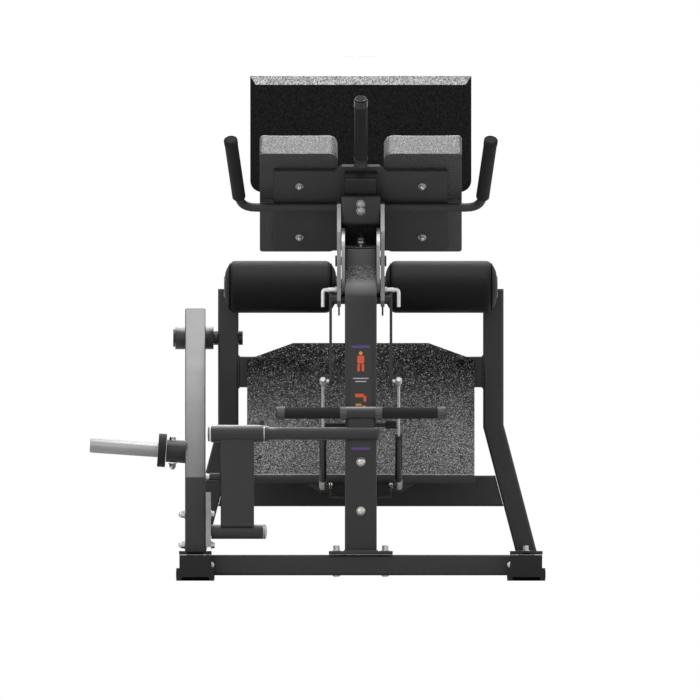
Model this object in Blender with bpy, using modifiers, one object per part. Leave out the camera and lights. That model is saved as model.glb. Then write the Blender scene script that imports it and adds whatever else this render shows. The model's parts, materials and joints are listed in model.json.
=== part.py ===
"""Hip extension machine: base and frame, tilting pad carriage with leg rollers, gas springs and weight lever.

X runs across the machine, -Y is its front, Z is up. Sizes are in metres. Places are measured from the
centre post's plane (X) and from the machine's own zero (Y), and the reference empty then moves the whole
machine so that the origin lies under the middle of its outer box.
"""

import math

import bmesh
import bpy
from mathutils import Matrix, Vector

# Shared stock and clearances
TUBE = 0.060
TUBE_WALL = 0.003
TUBE_CORNER = 0.006
PLATE = 0.009
FLANGE = 0.0108
GAP = 0.0003
RUNNING_GAP = 0.001
ROUND_STEPS = 24
SMALL_STEPS = 16

# Base
RAIL_X = 0.4815
RAIL_REACH = 0.100
RAIL_BACK = 0.500
RAIL_BOTTOM = 0.0157
POST_Y = -0.720
FOOT_LENGTH = 0.080
FOOT_WALL = 0.012
FOOT_SOLE_WIDTH = 0.111
FOOT_SOLE_HEIGHT = 0.037
FOOT_BLOCK_WIDTH = 0.093
FOOT_BLOCK_HEIGHT = 0.075

# Centre post
POST_WIDTH = 0.0915
POST_DEPTH = 0.060
POST_BEND_Z = 0.815
POST_LEAN = math.radians(25)
POST_TOP_Z = 0.955
POST_FLANGE_WIDTH = 0.186
POST_FLANGE_DEPTH = 0.092

CAP_THICKNESS = 0.004
STOP_BOLT_RADIUS = 0.0075
STOP_BOLT_LENGTH = 0.088
STOP_NUT_RADIUS = 0.014
STOP_NUT_LENGTH = 0.030
REST_BAR_Z = 0.454
REST_BAR_RADIUS = 0.00725
REST_BAR_HALF = 0.104

# Uprights and cross-beams
UPRIGHT_X = 0.3856
UPRIGHT_Y = 0.215
UPRIGHT_BEND_Z = 0.4505
UPRIGHT_TOP_Z = 0.846
UPRIGHT_FLANGE = 0.095
CROSS_HEIGHT = 0.090
CROSS_DEPTH = 0.050
UPPER_CROSS_Z = 0.6078
LOWER_CROSS_Z = 0.2617

# Foot plate, centre beam and mast
FOOT_PLATE_ANGLE = math.radians(45)
FOOT_PLATE_LOW = (-0.160, 0.311)
FOOT_PLATE_LENGTH = 0.5388
FOOT_PLATE_HALF = 0.331
FOOT_PLATE_TOP_HALF = 0.197
FOOT_PLATE_KNEE_HALF = 0.302
FOOT_PLATE_KNEE = 0.4851
FOOT_PLATE_SIDE = 0.4653
FOOT_PLATE_THICKNESS = 0.005
CENTRE_BEAM_Z = 0.2745
CENTRE_FLANGE_HALF = 0.1015
CRADLE_SETBACK = 0.012
CRADLE_PLATE = 0.006
CRADLE_HEIGHT = 0.055
CRADLE_TOP_HALF = 0.2115
CRADLE_LOW_HALF = 0.117
MAST_WIDTH = 0.093
MAST_BEND_Z = 1.449
MAST_LEAN = math.radians(60)
MAST_TOP_LENGTH = 0.098
BOARD_HALF = 0.3218
BOARD_LOW_Z = 1.131
BOARD_TOP_Z = 1.469
BOARD_FRONT_Y = 0.186
BOARD_DEPTH = 0.018
BOARD_CORNER = 0.022
BOARD_BEVEL = 0.014
BOARD_BRACKET_HEIGHT = 0.120

# Tilting carriage: the pads lean at PAD_ANGLE, and the whole carriage turns about the tilt axle
PAD_ANGLE = math.radians(45)
PIVOT_Z = 0.9306
TILT_AXLE_RADIUS = 0.0125
PAD_REACH = 0.160
PAD_BACK_Z = 1.0995
PAD_LENGTH = 0.403
PAD_WIDTH = 0.227
PAD_THICKNESS = 0.080
PAD_CENTRE_X = 0.1805
PAD_CROWN = 0.010
PAD_WAIST = 0.006
MOUNT_PLATE_HALF = 0.2525
MOUNT_PLATE_LENGTH = 0.325
PAD_CUTS = 5
PAD_RIM = 0.018
MOUNT_PLATE_TOP = 0.138
MOUNT_TAB = 0.021
MOUNT_TAB_HALF = 0.055
HEAD_WIDTH = 0.098
HEAD_DEPTH = 0.060
HEAD_BELOW = 0.105
HEAD_ABOVE = 0.050
HEAD_LUG_LENGTH = 0.120
HEAD_BAR_TOP = 0.1365
HEAD_BAR_WIDTH = 0.086
HEAD_BAR_DEPTH = 0.030
CHEEK_INNER = 0.0576
CHEEK_THICKNESS = 0.0117
CHEEK_SETBACK = 0.0375
AXLE_HEAD = 0.005
AXLE_HEAD_RADIUS = 0.016
SLOT_END_CLEARANCE = 0.0005
SECTOR_THICKNESS = 0.010
SECTOR_RADIUS = 0.0965
PIN_CIRCLE = 0.084
PIN_RADIUS = 0.006
PIN_BITE_CLEARANCE = 0.002
PIN_HANDLE_X = 0.1098
PIN_HANDLE_DROP = 0.050
PIN_BEND = 0.008
TILT_TRAVEL = math.radians(45)
SHAFT_Z = 0.819
SHAFT_RADIUS = 0.014
YOKE_INNER = 0.0838
YOKE_THICKNESS = 0.0081
YOKE_TOP_RADIUS = 0.018
YOKE_FOOT_RADIUS = 0.014
YOKE_FOOT_REACH = 0.020
YOKE_FOOT_Z = 0.581
ROLLER_Y = 0.098
ROLLER_Z = 0.8553
ROLLER_RADIUS = 0.077
ROLLER_INNER_X = 0.070
ROLLER_LENGTH = 0.327
ROLLER_RECESS = 0.010
ROLLER_CROWN = 0.003
ROLLER_DOME = 0.018
ROLLER_STEPS = 6
ROLLER_AXLE_RADIUS = 0.0125
AXLE_COLLAR_RADIUS = 0.020
BEAM_REACH = 0.145
BEAM_BLOCK_LENGTH = 0.070
HANDLE_RADIUS = 0.013
HANDLE_HALF = 0.350
HANDLE_Z = 1.0863
HANDLE_CLEARANCE = 0.001
HANDLE_BEND = 0.045
HANDLE_BEND_STEPS = 6
GRIP_SPLAY = 0.104
GRIP_CAP = 0.008
GRIP_RADIUS = 0.0195
GRIP_LENGTH = 0.225
CENTRE_GRIP_LENGTH = 0.215
CENTRE_GRIP_RADIUS = 0.019
CENTRE_COLLAR = 0.014
CENTRE_HANDLE_LEAN = math.radians(30.6)
CENTRE_HANDLE_CLEARANCE = 0.0018

# Gas springs
SPRING_X = 0.110
SPRING_LOW_Y = -0.200
SPRING_LOW_Z = 0.276
CYLINDER_RADIUS = 0.0105
CYLINDER_LENGTH = 0.275
ROD_RADIUS = 0.004
ROD_ENGAGED = 0.025
STUD_RADIUS = 0.005
STUD_NUT_RADIUS = 0.0085
STUD_NUT = 0.006
EYE_RADIUS = 0.009
EYE_HALF = 0.007
NECK_RADIUS = 0.005
SPRING_BRACKET_HALF = 0.0902
SPRING_BRACKET_WALL = 0.004
SPRING_BRACKET_EYE = 0.012
SPRING_BRACKET_LENGTH = 0.060

# Weight lever on the left rail
LEVER_PIVOT_Z = 0.7066
LEVER_REACH = 0.055
LEVER_BEND_Z = 0.295
LEVER_FOOT_Z = 0.0815
LEVER_TAIL = 0.150
LEVER_BEND_STEPS = 3
LEVER_BEND = 0.045
LEVER_AXLE_RADIUS = 0.015
LEVER_SPACER_RADIUS = 0.0205
LEVER_HUB_OUT = 0.0585
LEVER_HUB_IN = 0.0531
LEVER_CAP_RADIUS = 0.026
LEVER_CAP = 0.006
LEVER_NUT = 0.012
BUFFER_RADIUS = 0.026
LEVER_HUB_RADIUS = 0.032
HORN_Z = 0.375
HORN_RADIUS = 0.0212
HORN_TIP_X = -0.788
HORN_RISE = math.radians(4)
HORN_FLANGE_RADIUS = 0.0485
HORN_HUB_RADIUS = 0.033
HORN_HUB = 0.055
HORN_FLANGE = 0.0235
HORN_ROUND = 0.004
LEVER_BRACKET_THICKNESS = 0.015
LEVER_BRACKET_LOW = 0.098
LEVER_BRACKET_TOP = 0.258
LEVER_BRACKET_DEPTH = 0.070
SWING_PIN_RADIUS = 0.012
SWING_PIN_CAP = 0.0073

# Swing arm with the T-handle
SWING_LEAN = math.radians(2)
SWING_PIVOT_Z = 0.1427
SWING_SLEEVE_Z = 0.4281
SWING_WIDTH = 0.0975
SWING_DEPTH = 0.040
SWING_LEFT_X = -0.408
SLEEVE_RADIUS = 0.0255
SLEEVE_RIGHT_X = -0.279
SLEEVE_BASE_RIGHT = -0.2846
SWING_TUBE_RADIUS = 0.021
TEE_ROD_RADIUS = 0.0185
TEE_ROD_END_X = 0.053
TEE_GRIP_Z = 0.4878
TEE_CENTRE_X = 0.001
TEE_GRIP_RADIUS = 0.0165
TEE_GRIP_LENGTH = 0.160
TEE_GRIP_INNER = 0.062
TEE_BAR_RADIUS = 0.011
TEE_RING_RADIUS = 0.0185
TEE_INNER_RING = 0.026
TEE_END_RING = 0.027
TEE_STEM_TOP_HALF = 0.0335
TEE_STEM_LOW_HALF = 0.0385
TEE_STEM_DEPTH = 0.014
TEE_STEM_TOP_Z = 0.503
TEE_ROD_CAP = 0.009
TEE_ROD_CAP_RADIUS = 0.0225
TEE_SHOULDER = 0.010
LOCK_PIN_RADIUS = 0.003
LOCK_PIN_INSET = 0.009
LOCK_GROOVE = 0.0035
LOCK_KNOB_RADIUS = 0.0075
LOCK_KNOB_TOP_Z = 0.466

# Finishes: name, colour, roughness, metallic
FINISHES = (
    ("frame", (0.045, 0.045, 0.048), 0.55, 0.3),
    ("zinc", (0.55, 0.55, 0.56), 0.4, 0.9),
    ("chrome", (0.72, 0.72, 0.73), 0.2, 1.0),
    ("hardware", (0.40, 0.40, 0.41), 0.35, 1.0),
    ("cylinder", (0.10, 0.10, 0.11), 0.35, 0.5),
    ("rubber", (0.03, 0.03, 0.03), 0.85, 0.0),
    ("grip", (0.05, 0.05, 0.05), 0.8, 0.0),
    ("knob", (0.02, 0.02, 0.02), 0.4, 0.0),
    ("pad", (0.09, 0.09, 0.10), 0.6, 0.0),
    ("grit", (0.025, 0.025, 0.027), 0.95, 0.0),
)
COLLECTIONS = {}
MATERIALS = {}


def machine_middle():
    """Middle of the outer box, from the horn's tip to the right-hand feet and from foot to foot."""
    right = RAIL_X + FOOT_SOLE_WIDTH / 2
    return Vector(((HORN_TIP_X + right) / 2, (RAIL_FRONT + RAIL_BACK) / 2, 0))


def clear_scene():
    for old in list(bpy.data.objects):
        bpy.data.objects.remove(old, do_unlink=True)


def material(name, colour, roughness, metallic):
    """Principled material in the part's own colour."""
    new = bpy.data.materials.new(name)
    new.use_nodes = True
    shader = new.node_tree.nodes["Principled BSDF"]
    shader.inputs["Base Color"].default_value = (*colour, 1)
    shader.inputs["Roughness"].default_value = roughness
    shader.inputs["Metallic"].default_value = metallic
    MATERIALS[name] = new


def place(thing, owner, collection="hip_extension_machine"):
    """Link an object into a collection and hang it on its joint's empty without moving it."""
    COLLECTIONS[collection].objects.link(thing)
    if owner:
        thing.parent = owner
        thing.location -= owner_place(owner)
    return thing


def owner_place(owner):
    """Where an empty stands in the machine's own coordinates."""
    return Vector(owner["place"])


def joint_empty(name, point, owner):
    """Empty on a joint's axis, whose children move with the joint."""
    empty = bpy.data.objects.new(name, None)
    empty["place"] = tuple(point)
    empty.location = point
    empty.empty_display_size = 0.05
    return place(empty, owner)


def solid(name, mesh, finish, owner, matrix=None):
    """Named mesh object in the machine's coordinates."""
    mesh.name = name
    new = bpy.data.objects.new(name, mesh)
    if matrix is not None:
        new.matrix_world = matrix
        new.location = matrix.to_translation()
    if finish:
        mesh.materials.clear()
        mesh.materials.append(MATERIALS[finish])
    return place(new, owner, "hip_extension_machine" if finish else "cutters")


def combine(target, tool, operation):
    """Union or difference with a hidden tool object."""
    tool.hide_render = True
    tool.display_type = "WIRE"
    boolean = target.modifiers.new(operation.lower(), "BOOLEAN")
    boolean.operation = operation
    boolean.solver = "EXACT"
    boolean.object = tool
    return target


def box(name, size, centre, finish, owner, matrix=None, edge=0.0):
    """Closed box, with its edges broken by `edge`."""
    bm = bmesh.new()
    bmesh.ops.create_cube(bm, matrix=Matrix.Diagonal((*size, 1)))
    mesh = bpy.data.meshes.new("box")
    bm.to_mesh(mesh)
    bm.free()
    stand = (matrix or Matrix.Identity(4)) @ Matrix.Translation(centre)
    new = solid(name, mesh, finish, owner, stand)
    if edge:
        bevel = new.modifiers.new("edges", "BEVEL")
        bevel.width = edge
        bevel.segments = 1
    return new


def facing(axis, point):
    """Matrix that stands local Z along `axis` at `point`."""
    turn = Vector((0, 0, 1)).rotation_difference(Vector(axis)).to_matrix().to_4x4()
    return Matrix.Translation(point) @ turn


def rod(name, radius, start, end, finish, owner, steps=ROUND_STEPS):
    """Round bar between two points."""
    start, end = Vector(start), Vector(end)
    bm = bmesh.new()
    bmesh.ops.create_cone(bm, cap_ends=True, segments=steps, radius1=radius, radius2=radius,
                          depth=(end - start).length)
    mesh = bpy.data.meshes.new("rod")
    bm.to_mesh(mesh)
    bm.free()
    mesh.shade_smooth()
    mesh.set_sharp_from_angle(angle=math.radians(40))
    return solid(name, mesh, finish, owner, facing(end - start, (start + end) / 2))


def turned(name, profile, axis, point, finish, owner, steps=ROUND_STEPS):
    """Turned piece: (radius, height) pairs down its outer side, with the height along `axis`."""
    mesh = bpy.data.meshes.new(name)
    points = [(radius, 0, height) for radius, height in profile]
    edges = [(step, step + 1) for step in range(len(points) - 1)]
    mesh.from_pydata(points, edges, [])
    new = solid(name, mesh, finish, owner, facing(axis, point))
    screw = new.modifiers.new("turn", "SCREW")
    screw.steps = steps
    screw.render_steps = steps
    screw.use_merge_vertices = True
    screw.merge_threshold = 0.00001
    screw.use_smooth_shade = True
    return new


def bored(profile, bore):
    """Close a turned profile round a bore of this radius."""
    top, bottom = profile[0][1], profile[-1][1]
    return [(bore, top), *profile, (bore, bottom), (bore, top)]


def circle(centre, radius, steps=ROUND_STEPS):
    return [(centre[0] + radius * math.cos(2 * math.pi * step / steps),
             centre[1] + radius * math.sin(2 * math.pi * step / steps)) for step in range(steps)]


def arc(centre, radius, first, last, steps):
    """Points on an arc, in degrees."""
    angles = [math.radians(first + (last - first) * step / steps) for step in range(steps + 1)]
    return [(centre[0] + radius * math.cos(a), centre[1] + radius * math.sin(a)) for a in angles]


def plate(name, outlines, thickness, matrix, finish, owner):
    """Flat plate: the first outline is its edge and the others are its holes."""
    curve = bpy.data.curves.new(name, "CURVE")
    curve.dimensions = "2D"
    curve.fill_mode = "BOTH"
    curve.extrude = thickness / 2
    for outline in outlines:
        spline = curve.splines.new("POLY")
        spline.points.add(len(outline) - 1)
        spline.use_cyclic_u = True
        for point, (x, y) in zip(spline.points, outline):
            point.co = (x, y, 0, 1)
    flat = bpy.data.objects.new(name, curve)
    COLLECTIONS["cutters"].objects.link(flat)
    mesh = bpy.data.meshes.new_from_object(flat.evaluated_get(bpy.context.evaluated_depsgraph_get()))
    bpy.data.objects.remove(flat)
    bm = bmesh.new()
    bm.from_mesh(mesh)
    bmesh.ops.remove_doubles(bm, verts=bm.verts, dist=0.00001)
    bmesh.ops.recalc_face_normals(bm, faces=bm.faces)
    bm.to_mesh(mesh)
    bm.free()
    return solid(name, mesh, finish, owner, matrix)


def side_view(x):
    """Matrix that lays a flat outline in the YZ plane at this X: its first axis is Y, its second Z."""
    return Matrix(((0, 0, 1, x), (1, 0, 0, 0), (0, 1, 0, 0), (0, 0, 0, 1)))


def corner_ring(width, depth):
    """Rounded rectangle as (across, along) pairs, two steps to a corner."""
    steps = 2
    points = []
    for quarter, (sx, sy) in enumerate(((1, 1), (-1, 1), (-1, -1), (1, -1))):
        cx = sx * (width / 2 - TUBE_CORNER)
        cy = sy * (depth / 2 - TUBE_CORNER)
        for step in range(steps + 1):
            angle = math.pi / 2 * (quarter + step / steps)
            points.append((cx + TUBE_CORNER * math.cos(angle), cy + TUBE_CORNER * math.sin(angle)))
    return points


def tube(name, path, side, width, depth, finish, owner, first_cut=None, last_cut=None):
    """Hollow square tube along a bent path, `width` wide along `side` and mitred at each bend."""
    path = [Vector(point) for point in path]
    side = Vector(side)
    runs = [(b - a).normalized() for a, b in zip(path, path[1:])]
    cuts = [runs[0], *[(a + b).normalized() for a, b in zip(runs, runs[1:])], runs[-1]]
    cuts[0] = Vector(first_cut) if first_cut else cuts[0]
    cuts[-1] = Vector(last_cut) if last_cut else cuts[-1]
    along = runs[0].cross(side)
    bm = bmesh.new()
    ring = []
    for across, up in corner_ring(width, depth):
        start = path[0] + side * across + along * up
        slide = (path[0] - start).dot(cuts[0]) / runs[0].dot(cuts[0])
        ring.append(bm.verts.new(start + runs[0] * slide))
    edges = [bm.edges.new((ring[step - 1], ring[step])) for step in range(len(ring))]
    for run, cut, point in zip(runs, cuts[1:], path[1:]):
        made = bmesh.ops.extrude_edge_only(bm, edges=edges)["geom"]
        edges = [part for part in made if isinstance(part, bmesh.types.BMEdge)]
        for vert in (part for part in made if isinstance(part, bmesh.types.BMVert)):
            vert.co += run * ((point - vert.co).dot(cut) / run.dot(cut))
    bmesh.ops.recalc_face_normals(bm, faces=bm.faces)
    mesh = bpy.data.meshes.new(name)
    bm.to_mesh(mesh)
    bm.free()
    new = solid(name, mesh, finish, owner)
    wall = new.modifiers.new("wall", "SOLIDIFY")
    wall.thickness = TUBE_WALL
    wall.offset = -1
    wall.use_even_offset = True
    return new


def pipe(name, points, radius, finish, owner, steps=3):
    """Round bar bent through the points, made a mesh so that it can be cut or joined."""
    curve = bpy.data.curves.new(name, "CURVE")
    curve.dimensions = "3D"
    curve.bevel_depth = radius
    curve.bevel_resolution = steps
    curve.use_fill_caps = True
    spline = curve.splines.new("POLY")
    spline.points.add(len(points) - 1)
    for knot, point in zip(spline.points, points):
        knot.co = (*point, 1)
    bar = bpy.data.objects.new(name, curve)
    COLLECTIONS["cutters"].objects.link(bar)
    mesh = bpy.data.meshes.new_from_object(bar.evaluated_get(bpy.context.evaluated_depsgraph_get()))
    bpy.data.objects.remove(bar)
    bm = bmesh.new()
    bm.from_mesh(mesh)
    bmesh.ops.remove_doubles(bm, verts=bm.verts, dist=0.00001)
    bmesh.ops.recalc_face_normals(bm, faces=bm.faces)
    bm.to_mesh(mesh)
    bm.free()
    mesh.shade_smooth()
    mesh.set_sharp_from_angle(angle=math.radians(50))
    return solid(name, mesh, finish, owner)


# Places that follow from the driving dimensions
RAIL_TOP = RAIL_BOTTOM + TUBE
RAIL_FRONT = POST_Y - RAIL_REACH
PAD_BACK_Y = POST_Y + PAD_REACH
YOKE_FOOT_Y = POST_Y + YOKE_FOOT_REACH
BEAM_FRONT_Y = POST_Y + BEAM_REACH
BEAM_BLOCK_BACK = BEAM_FRONT_Y + BEAM_BLOCK_LENGTH
PIVOT_Y = POST_Y + (PIVOT_Z - POST_BEND_Z) * math.tan(POST_LEAN)
POST_TOP_Y = POST_Y + (POST_TOP_Z - POST_BEND_Z) * math.tan(POST_LEAN)
POST_INNER_BEND_Z = POST_BEND_Z - POST_DEPTH / 2 * math.tan(POST_LEAN / 2)
SHAFT_Y = (POST_Y + POST_DEPTH / 2
           + (SHAFT_RADIUS + GAP + (SHAFT_Z - POST_INNER_BEND_Z) * math.sin(POST_LEAN)) / math.cos(POST_LEAN))
MAST_Y = UPRIGHT_Y + CROSS_DEPTH / 2 + GAP + POST_DEPTH / 2
LEVER_PIVOT_Y = UPRIGHT_Y
LEVER_END_Y = POST_Y - LEVER_REACH
LEVER_HUB_LEFT = -RAIL_X - LEVER_HUB_OUT
LEVER_HUB_RIGHT = -RAIL_X + LEVER_HUB_IN
LEVER_BRACKET_LEFT = -RAIL_X + TUBE / 2 + GAP
LEVER_BRACKET_RIGHT = LEVER_BRACKET_LEFT + LEVER_BRACKET_THICKNESS
LEVER_SLOPE = (LEVER_PIVOT_Z - LEVER_BEND_Z) / (LEVER_PIVOT_Y - LEVER_END_Y)
HORN_Y = LEVER_PIVOT_Y - (LEVER_PIVOT_Z - HORN_Z) / LEVER_SLOPE
TEE_ROD_Y = POST_Y - POST_DEPTH / 2 - GAP - TEE_ROD_RADIUS
SWING_Y = TEE_ROD_Y - (SWING_SLEEVE_Z - SWING_PIVOT_Z) * math.tan(SWING_LEAN)
CHEEK_OUTER = CHEEK_INNER + CHEEK_THICKNESS
SIDES = (("left", -1), ("right", 1))


def pad_point(rise, out):
    """(Y, Z) of a point `rise` up the pads' back and `out` from it, on the user's side."""
    sine, cosine = math.sin(PAD_ANGLE), math.cos(PAD_ANGLE)
    return (PAD_BACK_Y - rise * cosine + out * sine, PAD_BACK_Z + rise * sine + out * cosine)


def pad_matrix(x, rise, out):
    """Local X across the machine, local Y down the pads' back, local Z out of it."""
    y, z = pad_point(rise, out)
    return Matrix.Translation((x, y, z)) @ Matrix.Rotation(-PAD_ANGLE, 4, "X")


def build_base(root):
    """Rails on rubber feet, with a cross-beam under the post and one under the mast."""
    rail_z = RAIL_BOTTOM + TUBE / 2
    for name, sign in SIDES:
        path = [(sign * RAIL_X, RAIL_FRONT, rail_z), (sign * RAIL_X, RAIL_BACK, rail_z)]
        tube(f"rail_{name}", path, (1, 0, 0), TUBE, TUBE, "frame", root)
        foot(f"foot_front_{name}", sign * RAIL_X, RAIL_FRONT, 1, root)
        foot(f"foot_rear_{name}", sign * RAIL_X, RAIL_BACK, -1, root)
    reach = RAIL_X - TUBE / 2 - GAP
    for name, y in (("front_cross_beam", POST_Y), ("rear_cross_beam", MAST_Y)):
        tube(name, [(-reach, y, rail_z), (reach, y, rail_z)], (0, 1, 0), TUBE, TUBE, "frame", root)


def foot(name, x, end, inward, root):
    """Rubber foot round the end of a rail: a wide sole with a narrower block on it, and a pocket."""
    middle = end + inward * (FOOT_LENGTH / 2 - FOOT_WALL)
    sole = box(name, (FOOT_SOLE_WIDTH, FOOT_LENGTH, FOOT_SOLE_HEIGHT),
               (x, middle, FOOT_SOLE_HEIGHT / 2), "rubber", root)
    block = box(f"{name}_block", (FOOT_BLOCK_WIDTH, FOOT_LENGTH - 2 * GAP, FOOT_BLOCK_HEIGHT - TUBE_WALL),
                (x, middle, (FOOT_BLOCK_HEIGHT + TUBE_WALL) / 2), None, root)
    pocket_depth = FOOT_LENGTH * 2
    pocket = box(f"{name}_pocket", (TUBE + 2 * GAP, pocket_depth, FOOT_BLOCK_HEIGHT),
                 (x, end - inward * GAP + inward * pocket_depth / 2,
                  RAIL_BOTTOM - GAP + FOOT_BLOCK_HEIGHT / 2), None, root)
    combine(sole, block, "UNION")
    combine(sole, pocket, "DIFFERENCE")


def build_post(root):
    """Bent centre post on a base flange, its top cap with the stop bolt, and the handle rest bar."""
    flange_z = RAIL_TOP + GAP
    path = [(0, POST_Y, flange_z + FLANGE - TUBE_WALL), (0, POST_Y, POST_BEND_Z), (0, POST_TOP_Y, POST_TOP_Z)]
    post = tube("centre_post", path, (1, 0, 0), POST_WIDTH, POST_DEPTH, "frame", root)
    flange = box("centre_post_flange", (POST_FLANGE_WIDTH, POST_FLANGE_DEPTH, FLANGE),
                 (0, POST_Y, flange_z + FLANGE / 2), None, root)
    combine(post, flange, "UNION")
    combine(post, axle_hole("post_axle_hole", PIVOT_Y, PIVOT_Z, TILT_AXLE_RADIUS, root), "DIFFERENCE")
    combine(post, axle_hole("post_bar_hole", POST_Y, REST_BAR_Z, REST_BAR_RADIUS, root), "DIFFERENCE")
    rod("handle_rest_bar", REST_BAR_RADIUS, (-REST_BAR_HALF, POST_Y, REST_BAR_Z),
        (REST_BAR_HALF, POST_Y, REST_BAR_Z), "hardware", root, SMALL_STEPS)
    lean = facing((0, math.sin(POST_LEAN), math.cos(POST_LEAN)), (0, POST_TOP_Y, POST_TOP_Z))
    cap = box("post_cap", (POST_WIDTH, POST_DEPTH, CAP_THICKNESS), (0, 0, GAP + CAP_THICKNESS / 2),
              "frame", root, lean)
    foot_point = Vector((0, POST_TOP_Y, POST_TOP_Z))
    push = Vector((0, math.sin(PAD_ANGLE), math.cos(PAD_ANGLE)))
    start = foot_point + lean.to_3x3() @ Vector((0, 0, CAP_THICKNESS / 2))
    combine(cap, rod("post_cap_bolt", STOP_BOLT_RADIUS, start, foot_point + push * STOP_BOLT_LENGTH,
                     None, root, SMALL_STEPS), "UNION")
    combine(cap, rod("post_cap_nut", STOP_NUT_RADIUS, start, foot_point + push * STOP_NUT_LENGTH,
                     None, root, 6), "UNION")


def axle_hole(name, y, z, radius, root, steps=ROUND_STEPS):
    """Cutter for an axle across the machine, wider than the axle by the gap."""
    return rod(name, radius + GAP, (-1, y, z), (1, y, z), None, root, steps)


def build_uprights(root):
    """Bent legs on the rails, with the two cross-beams between them."""
    for name, sign in SIDES:
        base_z = RAIL_TOP + GAP
        path = [(sign * RAIL_X, UPRIGHT_Y, base_z + FLANGE - TUBE_WALL),
                (sign * UPRIGHT_X, UPRIGHT_Y, UPRIGHT_BEND_Z), (sign * UPRIGHT_X, UPRIGHT_Y, UPRIGHT_TOP_Z)]
        leg = tube(f"upright_{name}", path, (0, 1, 0), TUBE, TUBE, "frame", root, first_cut=(0, 0, 1))
        combine(leg, box(f"upright_{name}_flange", (UPRIGHT_FLANGE, UPRIGHT_FLANGE, FLANGE),
                         (sign * RAIL_X, UPRIGHT_Y, base_z + FLANGE / 2), None, root), "UNION")
        if sign < 0:
            combine(leg, axle_hole("upright_axle_hole", LEVER_PIVOT_Y, LEVER_PIVOT_Z,
                                   LEVER_AXLE_RADIUS, root), "DIFFERENCE")
    slant = (RAIL_X - UPRIGHT_X) / (UPRIGHT_BEND_Z - RAIL_TOP - GAP - FLANGE + TUBE_WALL)
    upper = UPRIGHT_X - TUBE / 2 - GAP
    tube("upper_cross_beam", [(-upper, UPRIGHT_Y, UPPER_CROSS_Z), (upper, UPRIGHT_Y, UPPER_CROSS_Z)],
         (0, 1, 0), CROSS_DEPTH, CROSS_HEIGHT, "frame", root)
    half_cut = TUBE / 2 * math.hypot(1, slant) + GAP * 3
    lower = UPRIGHT_X + (UPRIGHT_BEND_Z - LOWER_CROSS_Z) * slant - half_cut
    tube("lower_cross_beam", [(-lower, UPRIGHT_Y, LOWER_CROSS_Z), (lower, UPRIGHT_Y, LOWER_CROSS_Z)],
         (0, 1, 0), CROSS_DEPTH, CROSS_HEIGHT, "frame", root,
         first_cut=(1, 0, -slant), last_cut=(1, 0, slant))


def build_centre_beam(root):
    """Beam from the post to the lower cross-beam, with the springs' bracket and the cradle on it."""
    front = POST_Y + POST_DEPTH / 2 + GAP
    back = UPRIGHT_Y - CROSS_DEPTH / 2 - GAP
    beam = tube("centre_beam", [(0, front + FLANGE - TUBE_WALL, CENTRE_BEAM_Z), (0, back, CENTRE_BEAM_Z)],
                (1, 0, 0), TUBE, TUBE, "frame", root)
    combine(beam, box("centre_beam_flange", (POST_WIDTH, FLANGE, CENTRE_FLANGE_HALF * 2),
                      (0, front + FLANGE / 2, CENTRE_BEAM_Z), None, root), "UNION")
    build_spring_bracket(root)
    build_foot_plate(root)


def build_spring_bracket(root):
    """Channel under the centre beam that carries the gas springs' lower studs on its side walls."""
    floor_top = CENTRE_BEAM_Z - TUBE / 2 - GAP
    wall = SPRING_BRACKET_WALL
    width = SPRING_BRACKET_HALF * 2
    height = SPRING_LOW_Z + SPRING_BRACKET_EYE - floor_top + wall
    middle = floor_top - wall + height / 2
    channel = box("spring_bracket", (width, SPRING_BRACKET_LENGTH, height), (0, SPRING_LOW_Y, middle),
                  "frame", root)
    hollow = box("spring_bracket_hollow", (width - 2 * wall, SPRING_BRACKET_LENGTH * 2, height),
                 (0, SPRING_LOW_Y, middle + wall), None, root)
    combine(channel, hollow, "DIFFERENCE")
    combine(channel, axle_hole("spring_bracket_hole", SPRING_LOW_Y, SPRING_LOW_Z, STUD_RADIUS, root,
                               SMALL_STEPS), "DIFFERENCE")


def build_foot_plate(root):
    """Sloping foot plate between the cradle on the centre beam and the upper cross-beam."""
    low_y, low_z = FOOT_PLATE_LOW
    tilt = Matrix.Translation((0, low_y, low_z)) @ Matrix.Rotation(FOOT_PLATE_ANGLE, 4, "X")
    half = [(FOOT_PLATE_HALF, 0), (FOOT_PLATE_HALF, FOOT_PLATE_SIDE),
            (FOOT_PLATE_KNEE_HALF, FOOT_PLATE_KNEE), (FOOT_PLATE_TOP_HALF, FOOT_PLATE_LENGTH)]
    outline = half + [(-x, s) for x, s in reversed(half)]
    thickness = FOOT_PLATE_THICKNESS
    plate("foot_plate", [outline], thickness, tilt @ Matrix.Translation((0, 0, -thickness / 2)),
          "grit", root)
    under = math.cos(FOOT_PLATE_ANGLE)
    top = low_z + CRADLE_SETBACK * math.tan(FOOT_PLATE_ANGLE) - (thickness + GAP) / under - CRADLE_PLATE / 2
    bottom = top - CRADLE_HEIGHT
    beam_half = TUBE / 2 + GAP
    arch = [(beam_half, bottom), (beam_half, CENTRE_BEAM_Z + beam_half)]
    side = [(-x, z) for x, z in reversed(arch)]
    edge = [(-CRADLE_LOW_HALF, bottom), (-CRADLE_TOP_HALF, top), (CRADLE_TOP_HALF, top),
            (CRADLE_LOW_HALF, bottom)]
    front = Matrix.Translation((0, low_y + CRADLE_SETBACK, 0)) @ Matrix.Rotation(math.pi / 2, 4, "X")
    plate("foot_plate_cradle", [arch + side + edge], CRADLE_PLATE, front, "frame", root)


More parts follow.
